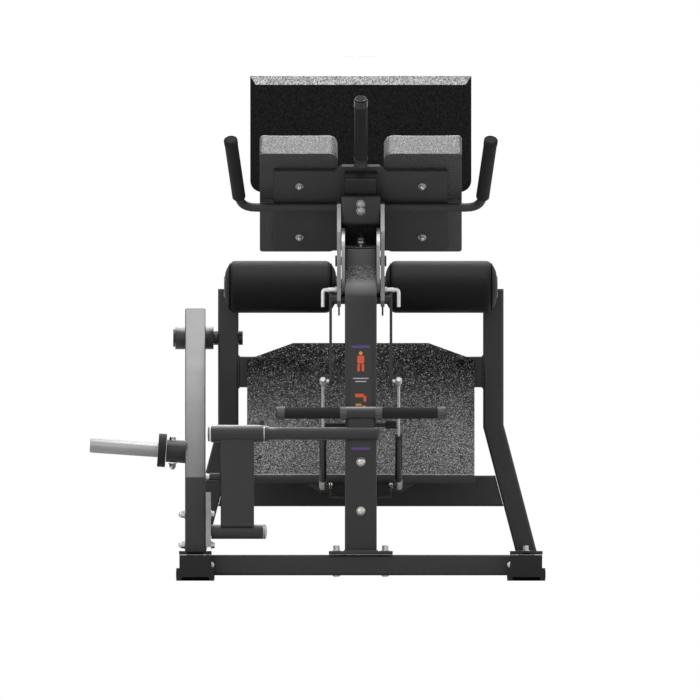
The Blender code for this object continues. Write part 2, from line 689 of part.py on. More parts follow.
def build_mast(root):
    """Rear mast on the rear cross-beam with the upright foot board on a short bracket."""
    reach = MAST_TOP_LENGTH
    path = [(0, MAST_Y, RAIL_TOP + GAP), (0, MAST_Y, MAST_BEND_Z),
            (0, MAST_Y + reach * math.sin(MAST_LEAN), MAST_BEND_Z + reach * math.cos(MAST_LEAN))]
    tube("mast", path, (1, 0, 0), MAST_WIDTH, POST_DEPTH, "frame", root)
    middle = (BOARD_LOW_Z + BOARD_TOP_Z) / 2
    back = BOARD_FRONT_Y + BOARD_DEPTH
    tube("board_bracket", [(0, back + GAP, middle), (0, MAST_Y - POST_DEPTH / 2 - GAP, middle)],
         (1, 0, 0), TUBE, BOARD_BRACKET_HEIGHT, "frame", root)
    low = arc((BOARD_HALF - BOARD_CORNER, BOARD_LOW_Z + BOARD_CORNER), BOARD_CORNER, -90, 0, 4)
    half = low + [(BOARD_HALF, BOARD_TOP_Z - BOARD_BEVEL), (BOARD_HALF - BOARD_BEVEL, BOARD_TOP_Z)]
    outline = half + [(-x, z) for x, z in reversed(half)]
    front = Matrix.Translation((0, BOARD_FRONT_Y + BOARD_DEPTH / 2, 0)) @ Matrix.Rotation(math.pi / 2, 4, "X")
    plate("upper_foot_board", [outline], BOARD_DEPTH, front, "grit", root)


def build_carriage(carriage, root):
    """Everything that tilts about the axle, and the fixed sector plates on the post."""
    build_plates(carriage, root)
    build_head(carriage)
    build_pads(carriage)
    build_handles(carriage)
    build_roller_beam(carriage)
    rod("cross_shaft", SHAFT_RADIUS, (-YOKE_INNER + GAP, SHAFT_Y, SHAFT_Z), (YOKE_INNER - GAP, SHAFT_Y, SHAFT_Z),
        "frame", carriage)
    build_yoke_arms(carriage)


def build_plates(carriage, root):
    """Tilt axle, sector plates beside the post and the cheek plates outside them."""
    reach = CHEEK_OUTER + GAP
    profile = [(0, reach + AXLE_HEAD), (AXLE_HEAD_RADIUS, reach + AXLE_HEAD), (AXLE_HEAD_RADIUS, reach),
               (TILT_AXLE_RADIUS, reach)]
    profile += [(radius, -height) for radius, height in reversed(profile)]
    turned("tilt_axle", profile, (1, 0, 0), (0, PIVOT_Y, PIVOT_Z), "hardware", root)
    axle = circle((PIVOT_Y, PIVOT_Z), TILT_AXLE_RADIUS + GAP)
    pin_place = (PIVOT_Y, PIVOT_Z - PIN_CIRCLE)
    head_low, head_high = pad_point(-0.105, -CHEEK_SETBACK), pad_point(0.045, -CHEEK_SETBACK)
    outline = [head_high, head_low, (BEAM_BLOCK_BACK, PIVOT_Z - 0.035),
               (BEAM_BLOCK_BACK, ROLLER_Z - TUBE / 2 - 0.004), (SHAFT_Y + 0.030, SHAFT_Z - 0.022),
               (SHAFT_Y - 0.010, SHAFT_Z - 0.022), (SHAFT_Y - 0.026, SHAFT_Z - 0.004),
               (PIVOT_Y - 0.034, PIVOT_Z), (PIVOT_Y - 0.026, PIVOT_Z + 0.085), pad_point(0.060, -0.064)]
    holes = [axle, circle(pin_place, PIN_RADIUS + GAP, SMALL_STEPS),
             circle((SHAFT_Y, SHAFT_Z), SHAFT_RADIUS + GAP)]
    slot = sector_slot()
    for name, sign in SIDES:
        cheek_x = sign * (CHEEK_INNER + CHEEK_THICKNESS / 2)
        plate(f"cheek_plate_{name}", [outline, *holes], CHEEK_THICKNESS, side_view(cheek_x), "zinc", carriage)
        sector_x = sign * (POST_WIDTH / 2 + GAP + SECTOR_THICKNESS / 2)
        plate(f"sector_plate_{name}", [circle((PIVOT_Y, PIVOT_Z), SECTOR_RADIUS, 40), axle, slot],
              SECTOR_THICKNESS, side_view(sector_x), "zinc", root)


def sector_slot():
    """Curved slot for an index pin, from its rest place through the whole tilt."""
    start = -90 - math.degrees(SLOT_END_CLEARANCE / PIN_CIRCLE)
    end = -90 + math.degrees(TILT_TRAVEL + SLOT_END_CLEARANCE / PIN_CIRCLE)
    half = PIN_RADIUS + GAP
    centre = (PIVOT_Y, PIVOT_Z)
    ends = [arc(centre, PIN_CIRCLE, angle, angle, 1)[0] for angle in (start, end)]
    slot = arc(centre, PIN_CIRCLE + half, start, end, 12)
    slot += arc(ends[1], half, end, end + 180, 6)[1:-1]
    slot += arc(centre, PIN_CIRCLE - half, end, start, 12)
    return slot + arc(ends[0], half, start + 180, start + 360, 6)[1:-1]


def build_head(carriage):
    """Hollow head behind the pads with a bar up the plate's back, and lugs between the cheek plates."""
    low, high = -HEAD_BELOW, HEAD_ABOVE
    out = -(PLATE + 2 * GAP + HEAD_DEPTH / 2)
    path = [(0, *pad_point(low, out)), (0, *pad_point(high, out))]
    head = tube("pad_head", path, (1, 0, 0), HEAD_WIDTH, HEAD_DEPTH, "frame", carriage)
    lug_width = CHEEK_INNER - GAP - HEAD_WIDTH / 2 + TUBE_WALL / 2
    lug_depth = PLATE + HEAD_DEPTH - CHEEK_SETBACK - TUBE_CORNER
    for sign in (-1, 1):
        x = sign * (CHEEK_INNER - GAP - lug_width / 2)
        combine(head, box(f"pad_head_lug_{sign}", (lug_width, HEAD_LUG_LENGTH, lug_depth), (0, 0, 0), None,
                          carriage, pad_matrix(x, (low + high) / 2, -CHEEK_SETBACK - lug_depth / 2)), "UNION")
    bar_length = HEAD_BAR_TOP - high + TUBE_WALL
    combine(head, box("pad_head_bar", (HEAD_BAR_WIDTH, bar_length, HEAD_BAR_DEPTH), (0, 0, 0), None, carriage,
                      pad_matrix(0, HEAD_BAR_TOP - bar_length / 2, -(PLATE + 2 * GAP + HEAD_BAR_DEPTH / 2))),
            "UNION")
    handle_y = pad_point(*handle_place())[0]
    combine(head, axle_hole("pad_head_hole", handle_y, HANDLE_Z, HANDLE_RADIUS, carriage), "DIFFERENCE")
    plate_middle = (MOUNT_PLATE_TOP + MOUNT_PLATE_TOP - MOUNT_PLATE_LENGTH) / 2
    half = [(MOUNT_PLATE_HALF, MOUNT_PLATE_LENGTH / 2), (MOUNT_PLATE_HALF, -MOUNT_PLATE_LENGTH / 2),
            (MOUNT_TAB_HALF + MOUNT_TAB, -MOUNT_PLATE_LENGTH / 2),
            (MOUNT_TAB_HALF, -MOUNT_PLATE_LENGTH / 2 - MOUNT_TAB)]
    outline = half + [(-x, y) for x, y in reversed(half)]
    plate("pad_mount_plate", [outline], PLATE, pad_matrix(0, plate_middle, -GAP - PLATE / 2), "frame", carriage)


def handle_place():
    """How far up the pads' back the handlebar crosses, and how far behind it."""
    out = -(PLATE + 2 * GAP + HANDLE_CLEARANCE + HANDLE_RADIUS)
    return (HANDLE_Z - PAD_BACK_Z - out * math.cos(PAD_ANGLE)) / math.sin(PAD_ANGLE), out


def build_pads(carriage):
    """Two hip pads: crowned cushions with drawn-in sides, as coarse cages that are smoothed once."""
    for name, sign in SIDES:
        bm = bmesh.new()
        bmesh.ops.create_cube(bm, matrix=Matrix.Diagonal((PAD_WIDTH, PAD_LENGTH, PAD_THICKNESS, 1)))
        bmesh.ops.subdivide_edges(bm, edges=bm.edges, cuts=PAD_CUTS, use_grid_fill=True)
        for vert in bm.verts:
            shape_pad(vert.co)
        mesh = bpy.data.meshes.new("pad")
        bm.to_mesh(mesh)
        bm.free()
        mesh.shade_smooth()
        pad = solid(f"hip_pad_{name}", mesh, "pad", carriage,
                    pad_matrix(sign * PAD_CENTRE_X, 0, PAD_THICKNESS / 2))
        smooth = pad.modifiers.new("soften", "SUBSURF")
        smooth.levels = 1
        smooth.render_levels = 1


def shape_pad(point):
    """Round a pad's rim, crown its face and draw its sides in between the two rims."""
    u, v = point.x / (PAD_WIDTH / 2), point.y / (PAD_LENGTH / 2)
    w = point.z / (PAD_THICKNESS / 2)
    # The rim's loops move close to the edges, so that smoothing leaves them firm.
    point.x = PAD_WIDTH / 2 * firm(u, PAD_RIM / PAD_WIDTH)
    point.y = PAD_LENGTH / 2 * firm(v, PAD_RIM / PAD_LENGTH)
    rim = max(abs(u), abs(v))
    if rim > 0.999:
        drawn = PAD_WAIST * (1 - w * w)
        point.x -= drawn * (u if abs(u) > 0.999 else 0)
        point.y -= drawn * (v if abs(v) > 0.999 else 0)
    if w > 0.999:
        point.z -= PAD_CROWN * (1 - (1 - u ** 4) * (1 - v ** 4))
    if w < -0.999 and rim < 0.999:
        point.z = -PAD_THICKNESS / 2


def firm(share, rim):
    """Push the loop next to an edge out towards it."""
    outer = 1 - 2 / (PAD_CUTS + 1)
    return math.copysign(1 - rim, share) if outer - 0.01 < abs(share) < 0.999 else share


def build_handles(carriage):
    """Bent handlebar with two grips, and the centre handle with its own grip."""
    rise, out = handle_place()
    handle_y = pad_point(rise, out)[0]
    for_grip = Vector((-GRIP_SPLAY, -math.cos(PAD_ANGLE), math.sin(PAD_ANGLE))).normalized()
    corner = Vector((-HANDLE_HALF, handle_y, HANDLE_Z))
    end = corner + for_grip * (HANDLE_BEND + GRIP_LENGTH)
    left = [end, corner, Vector((0, handle_y, HANDLE_Z))]
    bend = rounded(left, HANDLE_BEND, HANDLE_BEND_STEPS)
    path = bend[:-1] + [Vector((-point.x, point.y, point.z)) for point in reversed(bend[:-1])]
    pipe("handlebar", path, HANDLE_RADIUS, "frame", carriage)
    for name, sign in SIDES:
        axis = Vector((sign * -for_grip.x, for_grip.y, for_grip.z))
        base = Vector((sign * -corner.x, corner.y, corner.z)) + axis * HANDLE_BEND
        grip(f"grip_{name}", base, axis, GRIP_LENGTH + GRIP_CAP, GRIP_RADIUS, HANDLE_RADIUS, carriage)
    lean = Vector((0, -math.sin(CENTRE_HANDLE_LEAN), math.cos(CENTRE_HANDLE_LEAN)))
    foot_y, foot_z = pad_point(MOUNT_PLATE_TOP + MOUNT_TAB + CENTRE_HANDLE_CLEARANCE, -GAP - PLATE / 2)
    profile = [(0, CENTRE_GRIP_LENGTH), (HANDLE_RADIUS, CENTRE_GRIP_LENGTH),
               (HANDLE_RADIUS, CENTRE_COLLAR), (CENTRE_GRIP_RADIUS, CENTRE_COLLAR),
               (CENTRE_GRIP_RADIUS, 0), (0, 0)]
    turned("centre_handle", profile, lean, (0, foot_y, foot_z), "frame", carriage)
    base = Vector((0, foot_y, foot_z)) + lean * (CENTRE_COLLAR + GAP)
    grip("centre_grip", base, lean, CENTRE_GRIP_LENGTH - CENTRE_COLLAR + GRIP_CAP, CENTRE_GRIP_RADIUS,
         HANDLE_RADIUS, carriage)


def grip(name, base, axis, length, radius, bore, owner, finish="grip"):
    """Rubber grip with a closed, rounded end over a round bar."""
    inside = bore + GAP
    round_end = GRIP_CAP / 2
    profile = [(0, length), (radius - round_end, length), (radius, length - round_end), (radius, 0),
               (inside, 0), (inside, length - GRIP_CAP + GAP), (0, length - GRIP_CAP + GAP)]
    return turned(name, profile, axis, base, finish, owner)


def rounded(points, reach, steps):
    """Path with each corner replaced by a curve that starts and ends `reach` away from it."""
    path = [points[0]]
    for before, corner, after in zip(points, points[1:], points[2:]):
        start = corner + (before - corner).normalized() * reach
        end = corner + (after - corner).normalized() * reach
        for step in range(steps + 1):
            share = step / steps
            path.append(start.lerp(corner, share).lerp(corner.lerp(end, share), share))
    return path + [points[-1]]


def build_roller_beam(carriage):
    """Beam from the cheek plates back to the rollers, with their axle through its end."""
    block_depth = BEAM_BLOCK_BACK - BEAM_FRONT_Y - GAP * 2
    beam = tube("roller_beam", [(0, BEAM_BLOCK_BACK - TUBE_WALL * 2, ROLLER_Z), (0, ROLLER_Y + TUBE / 2, ROLLER_Z)],
                (1, 0, 0), TUBE, TUBE, "frame", carriage)
    width = CHEEK_INNER - GAP
    combine(beam, box("roller_beam_block", (2 * width, block_depth, TUBE - 2 * TUBE_CORNER),
                      (0, BEAM_FRONT_Y + block_depth / 2, ROLLER_Z), None, carriage), "UNION")
    combine(beam, axle_hole("roller_beam_hole", ROLLER_Y, ROLLER_Z, ROLLER_AXLE_RADIUS, carriage),
            "DIFFERENCE")
    collar_out, end = ROLLER_INNER_X - RUNNING_GAP, ROLLER_INNER_X + ROLLER_LENGTH - ROLLER_RECESS
    half = [(0, end), (ROLLER_AXLE_RADIUS, end), (ROLLER_AXLE_RADIUS, collar_out),
            (AXLE_COLLAR_RADIUS, collar_out), (AXLE_COLLAR_RADIUS, TUBE / 2 + GAP),
            (ROLLER_AXLE_RADIUS, TUBE / 2 + GAP)]
    profile = half + [(radius, -height) for radius, height in reversed(half)]
    turned("roller_axle", profile, (1, 0, 0), (0, ROLLER_Y, ROLLER_Z), "hardware", carriage)


def build_rollers(spins):
    """Padded leg rollers: round cushions with a crown and domed ends, one on each side of the beam."""
    for name, sign in SIDES:
        half = ROLLER_LENGTH / 2
        side = [(ROLLER_RADIUS - ROLLER_CROWN * (2 * step / ROLLER_STEPS - 1) ** 2,
                 (half - ROLLER_DOME) * (1 - 2 * step / ROLLER_STEPS)) for step in range(ROLLER_STEPS + 1)]
        ends = [(ROLLER_RADIUS - ROLLER_CROWN - ROLLER_DOME * (1 - math.cos(angle)),
                 half - ROLLER_DOME + ROLLER_DOME * math.sin(angle))
                for angle in (math.radians(30 * turn) for turn in (3, 2, 1))]
        inside = ROLLER_AXLE_RADIUS + RUNNING_GAP
        rim = [(inside, half), *ends, *side, *[(radius, -z) for radius, z in reversed(ends)], (inside, -half)]
        centre = (sign * (ROLLER_INNER_X + half), ROLLER_Y, ROLLER_Z)
        turned(f"roller_{name}", [*rim, rim[0]], (1, 0, 0), centre, "pad", spins[name], 32)


def build_yoke_arms(carriage):
    """Flat arms from the cross shaft down to the gas springs, with a nut on the inside of each foot."""
    foot, top = (YOKE_FOOT_Y, YOKE_FOOT_Z), (SHAFT_Y, SHAFT_Z)
    down = math.degrees(math.atan2(foot[1] - top[1], foot[0] - top[0]))
    outline = arc(top, YOKE_TOP_RADIUS, down + 90, down + 270, 10)
    outline += arc(foot, YOKE_FOOT_RADIUS, down - 90, down + 90, 8)
    for name, sign in SIDES:
        x = sign * (YOKE_INNER + YOKE_THICKNESS / 2)
        arm = plate(f"yoke_arm_{name}", [outline], YOKE_THICKNESS, side_view(x), "frame", carriage)
        inner = sign * (YOKE_INNER + YOKE_THICKNESS / 2)
        combine(arm, rod(f"yoke_nut_{name}", STUD_NUT_RADIUS, (inner, *foot),
                         (sign * (YOKE_INNER - STUD_NUT), *foot), None, carriage, 6), "UNION")


def spring_line():
    """Lower and upper ends of a gas spring at rest, as (Y, Z) vectors, and the way from one to the other."""
    low, top = Vector((SPRING_LOW_Y, SPRING_LOW_Z)), Vector((YOKE_FOOT_Y, YOKE_FOOT_Z))
    return low, top, (top - low).normalized()


def build_springs(turns, slides):
    """Gas springs: a cylinder that turns on the bracket and a rod that slides in it, with its open upper pivot."""
    low, top, way = spring_line()
    axis = Vector((0, *way))
    length = (top - low).length
    for name, sign in SIDES:
        x = sign * SPRING_X
        bore = ROD_RADIUS + GAP
        neck = EYE_RADIUS + NECK_RADIUS
        profile = [(CYLINDER_RADIUS, CYLINDER_LENGTH), (CYLINDER_RADIUS, neck), (NECK_RADIUS, neck),
                   (NECK_RADIUS, 0), (0, 0), (0, neck + NECK_RADIUS), (bore, neck + NECK_RADIUS),
                   (bore, CYLINDER_LENGTH), (CYLINDER_RADIUS, CYLINDER_LENGTH)]
        cylinder = turned(f"gas_cylinder_{name}", profile, axis, (x, *low), "cylinder", turns[name], SMALL_STEPS)
        wall = sign * SPRING_BRACKET_HALF
        eye_and_stud(cylinder, x, low, wall - sign * (SPRING_BRACKET_WALL + GAP), turns[name])
        inside = wall - sign * (SPRING_BRACKET_WALL + GAP)
        combine(cylinder, rod(f"gas_nut_{name}", STUD_NUT_RADIUS, (inside, *low),
                              (inside - sign * STUD_NUT, *low), None, turns[name], 6), "UNION")
        start = low + way * (CYLINDER_LENGTH - ROD_ENGAGED)
        bar = rod(f"gas_rod_{name}", ROD_RADIUS, (x, *start), (x, *top), "chrome", slides[name], 12)
        eye_and_stud(bar, x, top, sign * (YOKE_INNER + YOKE_THICKNESS + GAP), slides[name])


def eye_and_stud(target, x, point, stud_end, owner):
    """Round eye across a spring's end with the stud that reaches in from it."""
    side = math.copysign(1, x)
    combine(target, rod(f"{target.name}_eye", EYE_RADIUS, (x - side * EYE_HALF, *point), (x + side * EYE_HALF, *point),
                        None, owner, SMALL_STEPS), "UNION")
    combine(target, rod(f"{target.name}_stud", STUD_RADIUS, (x, *point), (stud_end, *point), None, owner,
                        SMALL_STEPS), "UNION")


def build_index_pins(slides):
    """Cranked pull pins through the cheek plates into the sector plates' slots."""
    z = PIVOT_Z - PIN_CIRCLE
    for name, sign in SIDES:
        tip = sign * (POST_WIDTH / 2 + GAP + PIN_BITE_CLEARANCE)
        elbow = Vector((sign * PIN_HANDLE_X, PIVOT_Y, z))
        path = [Vector((tip, PIVOT_Y, z)), elbow, elbow - Vector((0, 0, PIN_HANDLE_DROP))]
        pipe(f"index_pin_{name}", rounded(path, PIN_BEND, 4), PIN_RADIUS, "chrome", slides[name])


def build_lever(lever, root):
    """Weight lever over the left rail: bent tube, hub on its axle, horn, rest buffer and swing pivot."""
    x = -RAIL_X
    slope = Vector((0, 1, LEVER_SLOPE)).normalized()
    pivot = Vector((x, LEVER_PIVOT_Y, LEVER_PIVOT_Z))
    bend = Vector((x, LEVER_END_Y, LEVER_BEND_Z))
    points = [pivot + slope * LEVER_TAIL, bend, Vector((x, LEVER_END_Y, LEVER_FOOT_Z))]
    arm = tube("weight_arm", rounded(points, LEVER_BEND, LEVER_BEND_STEPS), (1, 0, 0), TUBE, TUBE, "frame", lever)
    combine(arm, rod("weight_arm_hub", LEVER_HUB_RADIUS, (LEVER_HUB_LEFT, *pivot.yz), (LEVER_HUB_RIGHT, *pivot.yz),
                     None, lever), "UNION")
    combine(arm, axle_hole("weight_arm_hole", pivot.y, pivot.z, LEVER_AXLE_RADIUS, lever), "DIFFERENCE")
    upright_left, upright_right = -UPRIGHT_X - TUBE / 2 - GAP, -UPRIGHT_X + TUBE / 2 + GAP
    cap, spacer, axle = LEVER_CAP_RADIUS, LEVER_SPACER_RADIUS, LEVER_AXLE_RADIUS
    profile = [(0, upright_right + LEVER_NUT), (spacer, upright_right + LEVER_NUT), (spacer, upright_right),
               (axle, upright_right), (axle, upright_left), (spacer, upright_left),
               (spacer, LEVER_HUB_RIGHT + GAP), (axle, LEVER_HUB_RIGHT + GAP), (axle, LEVER_HUB_LEFT - GAP),
               (cap, LEVER_HUB_LEFT - GAP), (cap, LEVER_HUB_LEFT - LEVER_CAP), (0, LEVER_HUB_LEFT - LEVER_CAP)]
    turned("lever_axle", profile, (1, 0, 0), (0, *pivot.yz), "hardware", root)
    rod("rest_buffer", BUFFER_RADIUS, (x, LEVER_END_Y, RAIL_TOP + GAP), (x, LEVER_END_Y, LEVER_FOOT_Z - GAP),
        "rubber", root)
    build_horn(lever)
    build_swing_pivot(lever)


def build_horn(lever):
    """Plate horn with a stop flange and a hub against the lever's outer face."""
    face = -RAIL_X - TUBE / 2 - GAP
    axis = Vector((-math.cos(HORN_RISE), 0, math.sin(HORN_RISE)))
    length = (face - HORN_TIP_X) / math.cos(HORN_RISE)
    radius = HORN_RADIUS
    profile = [(0, length), (radius - HORN_ROUND, length), (radius, length - HORN_ROUND),
               (radius, HORN_HUB + HORN_FLANGE), (HORN_FLANGE_RADIUS, HORN_HUB + HORN_FLANGE),
               (HORN_FLANGE_RADIUS, HORN_HUB), (HORN_HUB_RADIUS, HORN_HUB),
               (HORN_HUB_RADIUS, -HORN_HUB_RADIUS), (0, -HORN_HUB_RADIUS)]
    horn = turned("weight_horn", profile, axis, (face, HORN_Y, HORN_Z), "chrome", lever)
    half = HORN_HUB_RADIUS * 4
    combine(horn, box("weight_horn_trim", (half, half, half), (face + half / 2, HORN_Y, HORN_Z), None, lever),
            "DIFFERENCE")


def build_swing_pivot(lever):
    """Plate on the lever's end with the pin that the swing arm hangs on."""
    middle_z = (LEVER_BRACKET_LOW + LEVER_BRACKET_TOP) / 2
    width = LEVER_BRACKET_RIGHT - LEVER_BRACKET_LEFT
    bracket = box("swing_pivot", (width, LEVER_BRACKET_DEPTH, LEVER_BRACKET_TOP - LEVER_BRACKET_LOW),
                  (LEVER_BRACKET_LEFT + width / 2, LEVER_END_Y, middle_z), "zinc", lever)
    cap_start = SLEEVE_BASE_RIGHT + GAP
    profile = [(0, cap_start + SWING_PIN_CAP), (SWING_TUBE_RADIUS, cap_start + SWING_PIN_CAP),
               (SWING_TUBE_RADIUS, cap_start), (SWING_PIN_RADIUS, cap_start),
               (SWING_PIN_RADIUS, LEVER_BRACKET_LEFT + width / 2), (0, LEVER_BRACKET_LEFT + width / 2)]
    combine(bracket, turned("swing_pivot_pin", profile, (1, 0, 0), (0, SWING_Y, SWING_PIVOT_Z), None, lever),
            "UNION")


def build_swing_arm(swing):
    """Swing arm: a tube on the lever's end and a sleeve for the T-handle, joined by a wide flat tube."""
    left = LEVER_BRACKET_RIGHT + RUNNING_GAP
    pivot = Vector((0, SWING_Y, SWING_PIVOT_Z))
    sleeve = Vector((0, TEE_ROD_Y, SWING_SLEEVE_Z))
    way = (sleeve - pivot).normalized()
    x = SWING_LEFT_X + SWING_WIDTH / 2
    shift = Vector((x, 0, 0))
    arm = tube("swing_arm", [pivot + shift + way * SWING_TUBE_RADIUS * 0.7, sleeve + shift - way * SLEEVE_RADIUS * 0.7],
               (1, 0, 0), SWING_WIDTH, SWING_DEPTH, "frame", swing)
    for name, centre, radius, right in (("lower", pivot, SWING_TUBE_RADIUS, SLEEVE_BASE_RIGHT),
                                        ("upper", sleeve, SLEEVE_RADIUS, SLEEVE_RIGHT_X)):
        combine(arm, rod(f"swing_arm_{name}", radius, (left, *centre.yz), (right, *centre.yz), None, swing), "UNION")
    combine(arm, axle_hole("swing_arm_pin_hole", pivot.y, pivot.z, SWING_PIN_RADIUS, swing), "DIFFERENCE")
    combine(arm, axle_hole("swing_arm_rod_hole", sleeve.y, sleeve.z, TEE_ROD_RADIUS, swing), "DIFFERENCE")
    pin_x = SLEEVE_RIGHT_X - LOCK_PIN_INSET
    combine(arm, rod("swing_arm_lock_hole", LOCK_PIN_RADIUS + GAP, (pin_x, sleeve.y, sleeve.z),
                     (pin_x, sleeve.y, sleeve.z + SLEEVE_RADIUS * 2), None, swing, SMALL_STEPS), "DIFFERENCE")


def build_tee(tee):
    """T-handle: a rod through the sleeve, a flat stem on it and a cross-bar with two grips."""
    left = LEVER_BRACKET_RIGHT + RUNNING_GAP - GAP
    pin_x = SLEEVE_RIGHT_X - LOCK_PIN_INSET
    radius, groove = TEE_ROD_RADIUS, TEE_ROD_RADIUS - LOCK_GROOVE
    half_groove = LOCK_PIN_RADIUS + RUNNING_GAP
    shoulder = SLEEVE_RIGHT_X + GAP
    profile = [(0, TEE_ROD_END_X), (radius - HORN_ROUND, TEE_ROD_END_X), (radius, TEE_ROD_END_X - HORN_ROUND),
               (radius, shoulder + TEE_SHOULDER), (TEE_ROD_CAP_RADIUS, shoulder + TEE_SHOULDER),
               (TEE_ROD_CAP_RADIUS, shoulder), (radius, shoulder), (radius, pin_x + half_groove),
               (groove, pin_x + half_groove), (groove, pin_x - half_groove), (radius, pin_x - half_groove),
               (radius, left), (TEE_ROD_CAP_RADIUS, left), (TEE_ROD_CAP_RADIUS, left - TEE_ROD_CAP),
               (0, left - TEE_ROD_CAP)]
    handle = turned("tee_handle", profile, (1, 0, 0), (0, TEE_ROD_Y, SWING_SLEEVE_Z), "frame", tee)
    front = Matrix.Translation((TEE_CENTRE_X, TEE_ROD_Y, 0)) @ Matrix.Rotation(math.pi / 2, 4, "X")
    stem = [(-TEE_STEM_LOW_HALF, SWING_SLEEVE_Z), (TEE_STEM_LOW_HALF, SWING_SLEEVE_Z),
            (TEE_STEM_TOP_HALF, TEE_STEM_TOP_Z), (-TEE_STEM_TOP_HALF, TEE_STEM_TOP_Z)]
    combine(handle, plate("tee_stem", [stem], TEE_STEM_DEPTH, front, None, tee), "UNION")
    inner, outer = TEE_GRIP_INNER, TEE_GRIP_INNER + TEE_GRIP_LENGTH
    ring, bar = TEE_RING_RADIUS, TEE_BAR_RADIUS
    half = [(0, outer + TEE_END_RING), (ring - HORN_ROUND, outer + TEE_END_RING),
            (ring, outer + TEE_END_RING - HORN_ROUND), (ring, outer + GAP), (bar, outer + GAP),
            (bar, inner - GAP), (ring, inner - GAP), (ring, inner - TEE_INNER_RING)]
    cross = half + [(r, -height) for r, height in reversed(half)]
    combine(handle, turned("tee_bar", cross, (1, 0, 0), (TEE_CENTRE_X, TEE_ROD_Y, TEE_GRIP_Z), None, tee), "UNION")
    for name, sign in SIDES:
        start = TEE_CENTRE_X + sign * (inner + TEE_GRIP_LENGTH / 2)
        profile = bored([(TEE_GRIP_RADIUS, TEE_GRIP_LENGTH / 2), (TEE_GRIP_RADIUS, -TEE_GRIP_LENGTH / 2)], bar + GAP)
        turned(f"tee_grip_{name}", profile, (1, 0, 0), (start, TEE_ROD_Y, TEE_GRIP_Z), "grip", tee)


def build_lock_pin(slide):
    """Sprung pin through the sleeve into the rod's groove, with a round knob on top."""
    sleeve_top = SLEEVE_RADIUS + RUNNING_GAP
    tip = TEE_ROD_RADIUS - LOCK_GROOVE + RUNNING_GAP / 2
    knob_top = LOCK_KNOB_TOP_Z - SWING_SLEEVE_Z
    profile = [(0, knob_top), (LOCK_KNOB_RADIUS, knob_top), (LOCK_KNOB_RADIUS, sleeve_top),
               (LOCK_PIN_RADIUS, sleeve_top), (LOCK_PIN_RADIUS, tip), (0, tip)]
    turned("tee_lock_pin", profile, (0, 0, 1), (SLEEVE_RIGHT_X - LOCK_PIN_INSET, TEE_ROD_Y, SWING_SLEEVE_Z),
           "knob", slide, SMALL_STEPS)


def main():
    clear_scene()
    for name in ("hip_extension_machine", "cutters"):
        COLLECTIONS[name] = bpy.data.collections.new(name)
        bpy.context.scene.collection.children.link(COLLECTIONS[name])
    COLLECTIONS["cutters"].hide_render = True
    for name, colour, roughness, metallic in FINISHES:
        material(name, colour, roughness, metallic)
    root = joint_empty("machine", (0, 0, 0), None)
    root.location = -machine_middle()
    build_base(root)
    build_post(root)
    build_uprights(root)
    build_centre_beam(root)
    build_mast(root)
    carriage = joint_empty("tilt", (0, PIVOT_Y, PIVOT_Z), root)
    build_carriage(carriage, root)
    spins = {name: joint_empty(f"roller_spin_{name}", (sign * ROLLER_INNER_X, ROLLER_Y, ROLLER_Z), carriage)
             for name, sign in SIDES}
    build_rollers(spins)
    low, top, way = spring_line()
    turns = {name: joint_empty(f"spring_turn_{name}", (sign * SPRING_X, *low), root) for name, sign in SIDES}
    slides = {name: joint_empty(f"spring_slide_{name}", (sign * SPRING_X, *top), turns[name])
              for name, sign in SIDES}
    build_springs(turns, slides)
    pulls = {name: joint_empty(f"index_pull_{name}", (sign * CHEEK_OUTER, PIVOT_Y, PIVOT_Z - PIN_CIRCLE), carriage)
             for name, sign in SIDES}
    build_index_pins(pulls)
    lever = joint_empty("weight_lever", (-RAIL_X, LEVER_PIVOT_Y, LEVER_PIVOT_Z), root)
    build_lever(lever, root)
    swing = joint_empty("swing", (LEVER_BRACKET_RIGHT, SWING_Y, SWING_PIVOT_Z), lever)
    build_swing_arm(swing)
    tee = joint_empty("tee", (SLEEVE_RIGHT_X, TEE_ROD_Y, SWING_SLEEVE_Z), swing)
    build_tee(tee)
    lock = joint_empty("tee_lock", (SLEEVE_RIGHT_X - LOCK_PIN_INSET, TEE_ROD_Y, SWING_SLEEVE_Z), swing)
    build_lock_pin(lock)
    bpy.context.view_layer.update()


main()
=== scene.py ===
# %% [markdown]
# The machine's shape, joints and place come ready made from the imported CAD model. This script dresses it:
# it gives every steel part its real finish, swaps the plain soft solids for stuffed cushions, and adds the
# small trim, such as bolts, end caps and the label plate. The frame loads first, because every piece is
# placed against it.

import json
import math

import bmesh
import bpy
from mathutils import Matrix, Vector


